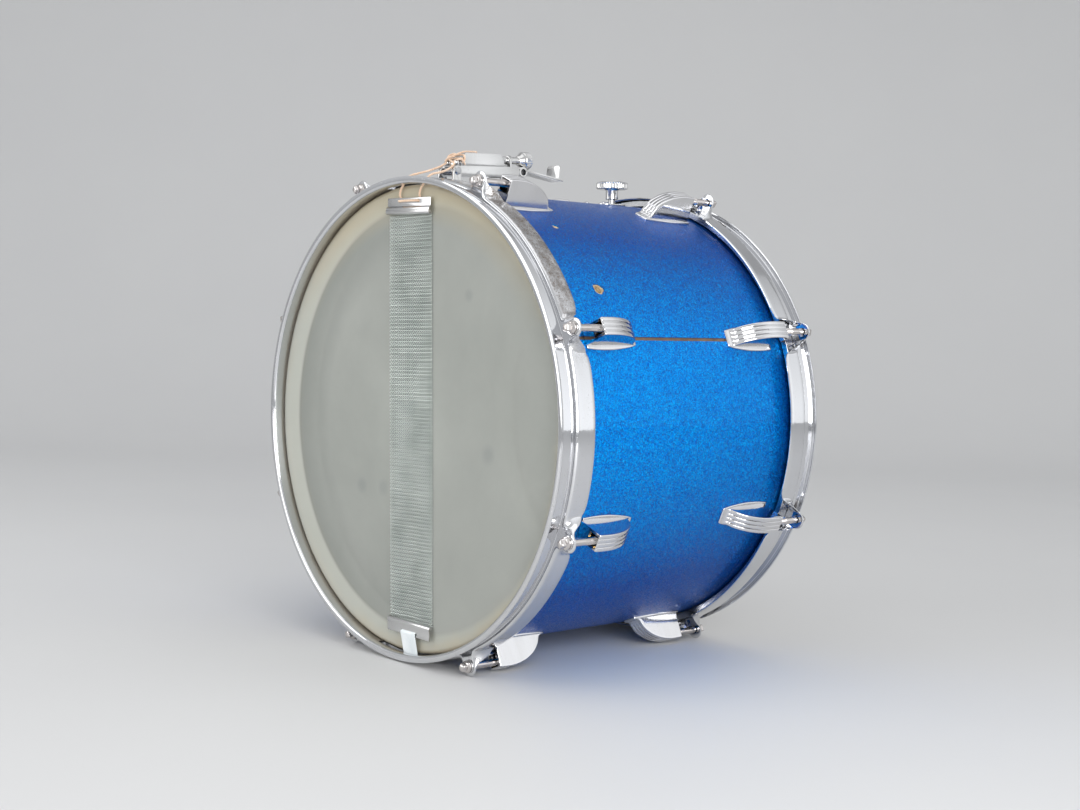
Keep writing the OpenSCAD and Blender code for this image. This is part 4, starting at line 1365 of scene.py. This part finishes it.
profile = [(3.05, 183.4), (4.95, 183.4), (5.3, 183.7), (5.35, 184.2), (5.35, 190.6), (5.6, 191.3),
           (6.6, 191.75), (9.5, 191.95), (12.4, 192.0), (13.05, 192.25), (13.35, 192.75),
           (13.35, 193.6), (13.35, 194.6), (13.35, 195.6), (13.35, 196.6), (13.3, 197.1),
           (12.9, 197.6), (12.2, 197.85), (11.3, 197.9), (10.9, 198.15), (10.2, 198.35),
           (8.0, 198.42), (3.0, 198.45)]
shape = turned(profile, 288, knurl(teeth=36, depth=0.55, start=192.2, end=197.3, ease=0.7))
add("tone_control_knob", on_tone_axis(shape), 40, CHROME, "chrome_plate", "tone_knob",
    body="tone_control")

profile = [(2.3, 138), (2.85, 138.5)] + thread(139.0, 165.5, crest=2.9, root=2.62, **FINE_THREAD)
profile += [(2.9, 166.95), (4.2, 167.0), (4.5, 167.3), (4.5, 168.3), (4.2, 168.6), (2.9, 168.65),
            (2.9, 183.4), (2.9, 183.5), (2.7, 183.9)]
add("tone_control_shaft", on_tone_axis(turned(profile, 40)), 32, ZINC, "zinc_steel",
    "tone_shaft", body="tone_control")

# ------------------------------------------------------------------ felt pad
# soft crowned disc: radius, y
PAD_PROFILE = [(6.0, 111.9), (11.2, 111.9), (12.4, 112.3), (12.95, 113.3), (13.0, 115.0),
               (13.0, 117.0), (12.8, 118.4), (12.0, 119.3), (10.0, 119.65), (6.0, 119.78),
               (2.0, 119.8)]
points, faces = turned(PAD_PROFILE, 96)
points[:, 0] += rng.normal(0, 0.09, len(points)) * 0.6
points[:, 2] += rng.normal(0, 0.05, len(points))
add("muffler_pad", shift((points, faces), (0, 0, 106)), 60, wool_felt(), "felt",
    "muffler_felt_pad", body="muffler_pad_arm")


# ------------------------------------------------------------------ knot on the clamp
def cord_loop(y, lean, half_width, z_low, z_high, phase):
    """Cord wound once round the clamp as a squared loop that leans along Y."""
    knots = []
    for angle in circle(16):
        c, s = math.cos(angle), math.sin(angle)
        square = (abs(c) ** 4 + abs(s) ** 4) ** 0.25
        knots.append((half_width * c / square, y + lean * s,
                      (z_low + z_high) / 2 + (z_high - z_low) / 2 * s / square))
    knots.append(knots[0])
    return twisted(knots, radius=0.85, phase=phase)


# in the lever's own frame
KNOT = [(-4.6, -92.8, 200.4), (-3.6, -93.6, 202.4), (0.4, -93.2, 204.2), (4.0, -91.4, 205.2),
        (2.4, -88.6, 206.6), (-2.6, -87.4, 207.2), (-5.4, -89.4, 205.4), (-2.0, -92.0, 203.2),
        (3.0, -93.2, 201.2), (5.6, -92.6, 199.4)]
KNOT_OVER = [(-5.0, -92.0, 201.4), (-1.6, -92.2, 203.6), (2.6, -90.4, 205.6), (5.8, -87.0, 207.4),
             (7.4, -83.2, 208.5), (7.6, -78.0, 208.6), (7.0, -72.5, 208.6), (5.4, -69.8, 208.5)]
KNOT_TAIL = [(4.6, -92.4, 200.6), (7.6, -91.6, 202.0), (9.2, -89.0, 202.4), (9.3, -86.4, 200.6),
             (9.2, -84.6, 198.4)]
shape = merge([
    cord_loop(-85.0, lean=0.8, half_width=9.0, z_low=199.0, z_high=206.4, phase=0.3),
    cord_loop(-86.6, lean=-0.5, half_width=8.8, z_low=199.4, z_high=203.6, phase=1.4),
    twisted(KNOT, radius=0.85), twisted(KNOT_OVER, radius=0.8), twisted(KNOT_TAIL, radius=0.8)])
add("cord_knot", from_lever(shape), 60, CORD, "cord", body="cord_clamp")


# ------------------------------------------------------------------ CAD nodes kept as they are
def paint(material, *nodes):
    for name in nodes:
        obj = NODES[name]
        if obj.material_slots:
            for slot in obj.material_slots:
                slot.material = material
        else:
            obj.data.materials.append(material)


paint(ply_shell(), "shell")
paint(ring_wood(), "batter_reinforcement_ring", "snare_reinforcement_ring")
paint(BRASS, "batter_swivel_nuts", "snare_swivel_nuts")
paint(ZINC, "lug_spring_clips", "lug_screws", "lug_screw_washers")


# ------------------------------------------------------------------ stage, in metres
def studio_floor():
    """A floor that curves up into a wall away from the camera."""
    away = (-0.7493, 0.6622)  # horizontal direction the camera looks
    right = (away[1], -away[0])
    profile = [(-3.0, 0.0), (1.6, 0.0)]  # distance away, height
    profile += [(1.6 + 1.2 * math.sin(a), 1.2 * (1 - math.cos(a)))
                for a in np.linspace(0, math.pi / 2, 16)[1:]]
    profile.append((2.8, 4.5))
    work = bmesh.new()
    rows = [[work.verts.new((away[0] * u + right[0] * w, away[1] * u + right[1] * w, h - 0.0002))
             for w in (-5, 5)] for u, h in profile]
    for near, far in zip(rows, rows[1:]):
        work.faces.new((near[0], near[1], far[1], far[0]))
    mesh = bpy.data.meshes.new("studio_floor")
    work.to_mesh(mesh)
    work.free()
    mesh.shade_smooth()
    floor = bpy.data.objects.new("studio_floor", mesh)
    bpy.context.scene.collection.objects.link(floor)
    mesh.materials.append(studio_grey())


def add_light(name, kind, location, energy):
    light = bpy.data.lights.new(name, kind)
    light.energy = energy
    obj = bpy.data.objects.new(name, light)
    obj.location = location
    bpy.context.scene.collection.objects.link(obj)
    return obj


def area_light(name, location, size, energy, size_y=None):
    """A soft light aimed at the middle of the drum."""
    obj = add_light(name, "AREA", location, energy)
    obj.data.size = size
    if size_y:
        obj.data.shape = "RECTANGLE"
        obj.data.size_y = size_y
    aim_at = Vector((0, 0, AXIS_Z)) - Vector(location)
    obj.rotation_euler = aim_at.to_track_quat("-Z", "Y").to_euler()


studio_floor()
area_light("key_right", (1.5, -0.75, 0.56), size=1.1, energy=20, size_y=0.9)
area_light("fill_left", (-0.7, -1.7, 0.8), size=1.5, energy=13)
area_light("top_soft", (0.2, -0.1, 2.0), size=1.6, energy=6)
# light held inside the shell by the hazy film
glow = add_light("inside_glow", "POINT", (0.0, -0.085, AXIS_Z), energy=0.22)
glow.data.shadow_soft_size = 0.03

# soft patches of light in the surroundings: direction, sharpness, level
SKY_PATCHES = [((1.0, 0.75, 0.12), 3.2, 0.95), ((0.3, -1.0, 0.35), 2.2, 0.75),
               ((-0.9, -0.5, 0.5), 3.0, 0.5), ((0.0, 0.2, 1.0), 3.5, 0.5),
               ((0.75, 0.5, 0.75), 9.0, 0.5), ((0.9, 0.8, -0.12), 14.0, 0.5)]
SKY_BASE_LEVEL = 0.15
SKY_TINT = (0.97, 0.985, 1.0)


def studio_world():
    world = bpy.data.worlds.new("studio")
    bpy.context.scene.world = world
    world.use_nodes = True
    nodes = Nodes(world.node_tree)
    view = nodes.node("TexCoord", {}, "Generated").vector("NORMALIZE")
    total = SKY_BASE_LEVEL
    for direction, sharpness, level in SKY_PATCHES:
        facing = view.vector("DOT_PRODUCT", Vector(direction).normalized(), output="Value")
        total = ((facing - 1.0) * sharpness).calc("EXPONENT") * level + total
    sky = nodes.node("VectorMath", {0: SKY_TINT, "Scale": total}, operation="SCALE")
    background = world.node_tree.nodes["Background"]
    nodes.put(background.inputs["Color"], sky)
    background.inputs["Strength"].default_value = 0.80


def studio_camera():
    data = bpy.data.cameras.new("camera")
    data.sensor_width = 36.0
    data.lens = 52.307
    data.clip_start = 0.01
    data.clip_end = 50
    camera = bpy.data.objects.new("camera", data)
    azimuth, elevation, roll = (math.radians(a) for a in (48.5487, 3.1349, 1.3567))
    back = Vector((math.sin(azimuth) * math.cos(elevation),
                   -math.cos(azimuth) * math.cos(elevation), math.sin(elevation)))
    level_x = Vector((0, 0, 1)).cross(back).normalized()
    level_y = back.cross(level_x)
    camera_x = math.cos(roll) * level_x + math.sin(roll) * level_y
    camera_y = -math.sin(roll) * level_x + math.cos(roll) * level_y
    pose = Matrix((camera_x, camera_y, back)).transposed().to_4x4()
    pose.translation = Vector((0.97465, -0.85382, 0.07994 + AXIS_Z))
    camera.matrix_world = pose
    bpy.context.scene.collection.objects.link(camera)
    bpy.context.scene.camera = camera


studio_world()
studio_camera()
bpy.context.scene.view_settings.view_transform = "Standard"
